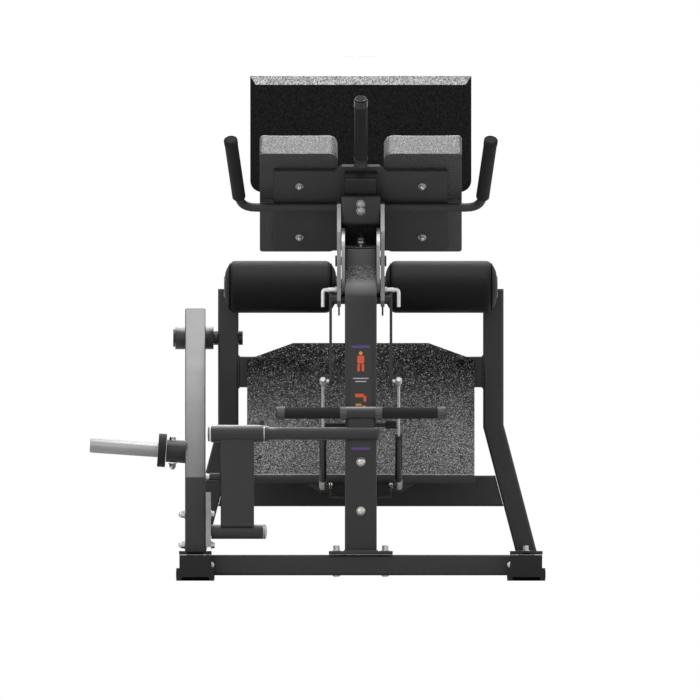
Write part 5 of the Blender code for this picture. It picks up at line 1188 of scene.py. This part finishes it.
# %% Turned trim
SPRING_X, SPRING_LOW, SPRING_TOP = 0.110, (-0.200, 0.276), (-0.700, 0.581)
TILT_Y, TILT_Z = -0.666095, 0.8466
SWING_Y, SWING_Z, SWING_CAP_Y, SWING_CAP_Z = -0.7688, 0.4281, -0.778767, 0.1427
SOCKET = [(0, -0.0105), (0.0070, -0.0105), (0.0097, -0.0070), (0.0097, 0.0070), (0.0075, 0.0105),
          (0.0062, 0.0190), (0, 0.0190)]
LONG_SOCKET = [(0, -0.0105), (0.0070, -0.0105), (0.0100, -0.0070), (0.0112, 0.0), (0.0112, 0.0330),
               (0.0106, 0.0350), (0, 0.0350)]
STUD = [(0, 0.0085), (0.0045, 0.0085), (0.0045, 0.0180), (0.0088, 0.0180), (0.0088, 0.0260), (0.0070, 0.0275),
        (0, 0.0275)]
CHEEK_STUD = [(0, 0), (0.0026, 0), (0.0026, 0.0335), (0, 0.0340)]
GRIP_BUTTON = [(0, 0.2331), (0.0155, 0.2331), (0.0140, 0.2348), (0, 0.2352)]
CENTRE_CAP = [(0, 0.2229), (0.0182, 0.2229), (0.0168, 0.2246), (0.0118, 0.2238), (0.0100, 0.2254),
              (0, 0.2260)]
TEE_CAP = [(0, -0.4466), (0.0110, -0.4462), (0.0190, -0.4440), (0.0232, -0.4400), (0.0232, -0.4364),
           (0.0226, -0.4362), (0, -0.4362)]
SWING_CAP = [(0, -0.2768), (0.0190, -0.2768), (0.0170, -0.2745), (0.0090, -0.2728), (0, -0.2722)]


def ring(inner, outer, low, high, edge=0.0006):
    """A ring's profile with small chamfers on its outer edges."""
    return [(inner, low), (outer - edge, low), (outer, low + edge), (outer, high - edge),
            (outer - edge, high), (inner, high), (inner, low)]


trim = []
for side, sign in SIDES:
    low, top = (at(sign * SPRING_X, *end) for end in (SPRING_LOW, SPRING_TOP))
    way, pin, outwards = (top - low).normalized(), at(0, TILT_Y, TILT_Z), (sign, 0, 0)
    grip_way = Vector((sign * 0.104, -0.7071, 0.7071)).normalized()
    grip_base = at(sign * 0.350, -0.580, 1.0863) + grip_way * 0.045
    trim += [(f"spring_socket_low_{side}", LONG_SOCKET, low, way, BRIGHT_BOLT, f"spring_body_{side}"),
             (f"spring_stud_{side}", STUD, low, (-sign, 0, 0), BRIGHT_BOLT, "frame"),
             (f"spring_socket_top_{side}", SOCKET, top, -way, BRIGHT_BOLT, f"spring_rod_{side}"),
             (f"spring_seal_{side}", ring(0.0045, 0.0108, 0.2720, 0.2785), low, way, BLACK_OXIDE,
              f"spring_body_{side}"),
             (f"pin_collar_{side}", ring(0.0062, 0.0105, 0.0697, 0.0760), pin, outwards, BRIGHT_BOLT,
              "carriage"),
             (f"pin_sleeve_{side}", ring(0.0062, 0.0076, 0.0762, 0.0965), pin, outwards, PIN_ZINC,
              f"pull_pin_{side}"),
             (f"cheek_stud_{side}", CHEEK_STUD, at(sign * 0.0635, -0.664, 0.8055), DOWN, BLACK_OXIDE,
              "carriage"),
             (f"grip_ring_{side}", ring(0.0192, 0.0203, 0.2170, 0.2325), grip_base, grip_way, CAP_RUBBER,
              "carriage"),
             (f"grip_button_{side}", GRIP_BUTTON, grip_base, grip_way, CAP_RUBBER, "carriage")]
centre_way, centre_base = tilted(math.radians(30.6)), pad_space(0, 0.1608, -0.0048).translation
swing, swing_low = at(0, SWING_Y, SWING_Z), at(0, SWING_CAP_Y, SWING_CAP_Z)
trim += [("centre_collar", ring(0.0188, 0.0202, 0.0130, 0.0240), centre_base, centre_way, BLACK_OXIDE,
          "carriage"),
         ("centre_cap_ring", ring(0.0188, 0.0202, 0.1990, 0.2190), centre_base, centre_way, HARD_PLASTIC,
          "carriage"),
         ("centre_cap", CENTRE_CAP, centre_base, centre_way, CAP_RUBBER, "carriage"),
         # A thin nickel ring at the cap's edge stands for the bright glints along it, a painted highlight.
         ("centre_cap_glint_ring", ring(0.0150, 0.0163, 0.2240, 0.2254, 0.0004), centre_base, centre_way, NICKEL,
          "carriage"),
         ("swing_snap_ring", ring(0.0190, 0.0262, -0.2828, -0.2798), swing, RIGHT, BRIGHT_BOLT, "swing"),
         ("tee_white_cap", TEE_CAP, swing, RIGHT, NYLON, "tee"),
         ("swing_white_cap", SWING_CAP, swing_low, RIGHT, NYLON, "lever"),
         ("rest_sleeve", ring(0.0074, 0.0118, 0.0720, 0.1030, 0.0010), at(0, POST_Y, 0.454), RIGHT,
          GRIP_RUBBER, "frame"),
         ("stop_tube", ring(0.0060, 0.0112, 0.0110, 0.0410), at(LEVER_SIDE_X, LEVER_END_Y, STOP_TUBE_Z),
          RIGHT, BLACK_OXIDE, "lever")]
for row in trim:
    turned(*row)
print("turned", len(trim), "pieces of trim")

# %% [markdown]
# The post's top carries a flat cap with the stop bolt that the carriage rests on, and its lock nut. The
# T-handle's grips are foam, squeezed between ribbed rings. A ribbed ring is a gear-like outline pushed
# along the bar, because real ribs give a livelier edge than bumps in a material.

# %% Stop bolt and ribbed rings
post_top = at(0, *post_end)
stop_way = Vector((0, 1, 1)).normalized()
cut("post_lid", rounded_outline(POST_HALF, TUBE_HALF, 0.004, 3), 0.0003, 0.0043,
    frame_of(post_top, tilted(-POST_LEAN), RIGHT), POWDER_COAT, "frame", 0.0010, cad=("post_cap",))
turned("stop_bolt", [(0, 0.004), (0.0075, 0.004), (0.0075, 0.0860), (0.0060, 0.0880), (0, 0.0880)], post_top,
       stop_way, BRIGHT_BOLT, "frame", 24)
NUT_RADIUS = 0.0150
hexagon = [(NUT_RADIUS * math.cos(math.radians(60 * i)), NUT_RADIUS * math.sin(math.radians(60 * i)))
           for i in range(6)]
for name, low, high in (("lock", 0.0270, 0.0400), ("thin", 0.0415, 0.0520)):
    cut(f"stop_nut_{name}", hexagon, low, high, frame_of(post_top, stop_way), ZINC_PLATE, "frame", 0.0010,
        slot="hardware")


def ribbed(radius, depth, count=26):
    """A gear-like outline: ribs that stand out from a round bar."""
    points = []
    for number in range(count * 4):
        angle = math.tau * number / (count * 4)
        reach = radius if number % 4 < 2 else radius - depth
        points.append((reach * math.cos(angle), reach * math.sin(angle)))
    return points


tee_middle = at(0.001, SWING_Y, 0.4878)
for side, sign in SIDES:
    for name, low, high in (("outer", 0.2232, 0.2440), ("inner", 0.0420, 0.0612)):
        cut(f"tee_ring_{name}_{side}", ribbed(0.0191, 0.0009), low, high, frame_of(tee_middle, (sign, 0, 0)),
            NICKEL, "tee")
print("stop bolt, nuts and four ribbed rings")

# %% [markdown]
# The feet are moulded rubber shoes. Each has a wide tread that is stepped at its ends, and an upright
# block that grips the rail. Ribs along the tread's edges are all alike, so a second small tree sets one
# rib on every point of a line.

# %% Tread ribs
RIBS_IN_ROW, RIB_STEP, RIB_OUT, RIB_Z = 9, 0.008, 0.0555, 0.0185


def rib_tree():
    tree, given = new_tree("tread_ribs", {"Width": (FLOAT, 0.004), "Depth": (FLOAT, 0.0016),
                                          "Height": (FLOAT, 0.022)})
    size = vector_of(tree, X=given["Width"], Y=given["Depth"], Z=given["Height"])
    rib = primitive(tree, "Cube", Size=size)
    return planted(tree, given, given["Geometry"], rib, Rotation=seed_turn(tree))


rib_places = [(at(sx * RAIL_X + side * RIB_OUT, y + (step - RIBS_IN_ROW // 2) * RIB_STEP, RIB_Z), UP)
              for sx in (-1, 1) for y in FOOT_Y.values() for step in range(RIBS_IN_ROW) for side in (-1, 1)]
grown("tread_ribs", seeds_at("tread_ribs", rib_places, BACK), rib_tree(), {"Finish": FOOT_RUBBER}, "frame")
print("ribs on", len(rib_places), "points")

# %% [markdown]
# Where tubes meet they are welded. A weld bead is a row of overlapping drops, laid one after another, so
# it suits a tree that walks along a line: resample the line at the drop's spacing and set a small ball on
# each point, half sunk in the tubes and of uneven size. The beads get the frame's powder coat.

# %% Weld beads
WELD_X, TUBE_EDGE = 0.3553, 0.0302


def bead_tree():
    tree, given = new_tree("weld_beads", {"Spacing": (FLOAT, 0.0035), "Drop": (FLOAT, 0.0034)})
    line = add(tree, "GeometryNodeMeshToCurve", {"Mesh": given["Geometry"]}).outputs["Curve"]
    spaced = add(tree, "GeometryNodeResampleCurve", {"Curve": line, "Length": given["Spacing"]},
                 mode="LENGTH")
    points = add(tree, "GeometryNodeCurveToPoints", {"Curve": spaced.outputs["Curve"]}, mode="EVALUATED")
    drop = primitive(tree, "IcoSphere", Radius=given["Drop"], Subdivisions=2)
    wobble = add(tree, "FunctionNodeRandomValue", {"Min": 0.85, "Max": 1.12, "Seed": 7}, data_type="FLOAT")
    return planted(tree, given, points.outputs["Points"], smoothed(tree, drop), Scale=wobble.outputs["Value"])


def seam(*points):
    """A mesh line through points."""
    mesh = bpy.data.meshes.new("seam")
    mesh.from_pydata([tuple(p) for p in points], [(i, i + 1) for i in range(len(points) - 1)], [])
    return mesh


def seam_across(x, half, y, z):
    """A level seam across the machine, centred on X."""
    return seam(at(x - half, y, z), at(x + half, y, z))


def seam_along(x, y, half, z):
    """A level seam from front to back, centred on Y."""
    return seam(at(x, y - half, z), at(x, y + half, z))


BEADS = bead_tree()
lines = []
for sign in (-1, 1):
    for dy in (-0.0250, 0.0250):
        lines.append(seam(*(at(sign * WELD_X, UPRIGHT_Y + dy, z) for z in (0.567, 0.649))))
    for z in (0.5628, 0.6528):
        lines.append(seam_along(sign * WELD_X, UPRIGHT_Y, 0.021, z))
    for dy in (-TUBE_EDGE, TUBE_EDGE):
        lines.append(seam_across(sign * RAIL_X, 0.027, UPRIGHT_Y + dy, FLANGE_TOP))
    lines.append(seam_along(sign * 0.0460, POST_Y, 0.026, FLANGE_TOP))
for dy in (-TUBE_EDGE, TUBE_EDGE):
    lines.append(seam_across(0, 0.042, POST_Y + dy, FLANGE_TOP))
swing_lines = [seam_across(-0.3592, 0.044, y - 0.0195, z) for y, z in ((SWING_Y, 0.4010), (-0.7788, 0.1640))]
grown("weld_beads", joined("weld_seams", lines), BEADS, {"Finish": POWDER_COAT}, "frame")
grown("swing_beads", joined("swing_seams", swing_lines), BEADS, {"Finish": POWDER_COAT, "Drop": 0.0028},
      "swing")
print("weld beads along", len(lines) + len(swing_lines), "seams")

# %% [markdown]
# The mast's bent end is painted near white above the board, a painted highlight where it catches the
# strong light from above and behind. It is a thin cover in pale enamel over the tube's end, a hair wider
# than the tube, with the tube's own bend.

# %% Mast cover
SHEET, TUCK, COVER_LOW_Z, COVER_REACH, COVER_HALF = 0.0007, 0.0010, 1.4560, 0.0978, 0.0468
mast_bend, mast_along = Vector((MAST_Y, MAST_BEND_Z)), Vector((math.sin(MAST_LEAN), math.cos(MAST_LEAN)))
mast_up = Vector((-mast_along.y, mast_along.x))
corner = mast_bend + Vector((-TUBE_HALF, TUBE_HALF * math.tan(MAST_LEAN / 2)))
cover_end = mast_bend + mast_along * COVER_REACH
cover = [(corner.x - SHEET, COVER_LOW_Z), corner + Vector((-SHEET, 0.0003)),
         cover_end + mast_up * (TUBE_HALF + SHEET), cover_end + mast_up * (TUBE_HALF - TUCK),
         corner + Vector((TUCK, -TUCK)), (corner.x + TUCK, COVER_LOW_Z)]
cut("mast_highlight_cover", cover, -COVER_HALF, COVER_HALF, side_matrix(0), HIGHLIGHT_ENAMEL, "frame", 0.0003, 1)
print("mast cover in", HIGHLIGHT_ENAMEL.name)

# %% [markdown]
# A heavy block fills the gap between the cheek plates in front of the head, and takes the two clamp bolts.
# Its side outline has rounded corners. It turns with the carriage, clear of the sector discs below it. Each
# foot gets two thin near-black sheets that paint shade: one where it is cut back along the floor, and one in
# the moulded slot under its upper lip.

# %% Clamp block and foot moulding
CLAMP = [(-0.6550, 1.0460), (-0.6520, 1.0380), (-0.6450, 1.0350), (-0.6120, 1.0400), (-0.6000, 1.0600),
         (-0.6120, 1.1215), (-0.6480, 1.1225), (-0.6550, 1.1160)]
FOOT_HALF, CLAMP_HALF = 0.0401, 0.0568
cut("clamp_block", CLAMP, -CLAMP_HALF, CLAMP_HALF, side_matrix(0), POWDER_COAT, "carriage", 0.0045, 3)
for side, sign in SIDES:
    # An outline that faces backwards has its Y downwards, so its heights change sign.
    for end, facing, up in (("front", FRONT, 1), ("rear", BACK, -1)):
        place = frame_of(at(sign * RAIL_X, FOOT_Y[end] - up * FOOT_HALF, 0), facing, RIGHT)
        # Two thin near-black sheets on each foot paint shade: one along the floor, one in the slot under the
        # upper lip.
        for name, outline in (("undercut_shade", box_outline(0.0400, 0.0004 * up, 0.0105 * up)),
                              ("slot", box_outline(0.0125, 0.0770 * up, 0.0806 * up, 0.0090))):
            cut(f"foot_{name}_{end}_{side}", outline, -0.0010, 0.0005, place, SHADE_BLACK, "frame")
head_end = frame_of(pad_space(0, 0.1365, -0.0200).translation, SLOPE_OUT, RIGHT)
cut("head_bar_cap", rounded_outline(0.0475, 0.0155, (0.002, 0.002, 0.012, 0.012)), 0.0002, 0.0042, head_end,
    CAP_RUBBER, "carriage", 0.0012)
print("clamp block, undercuts and slots for four feet")
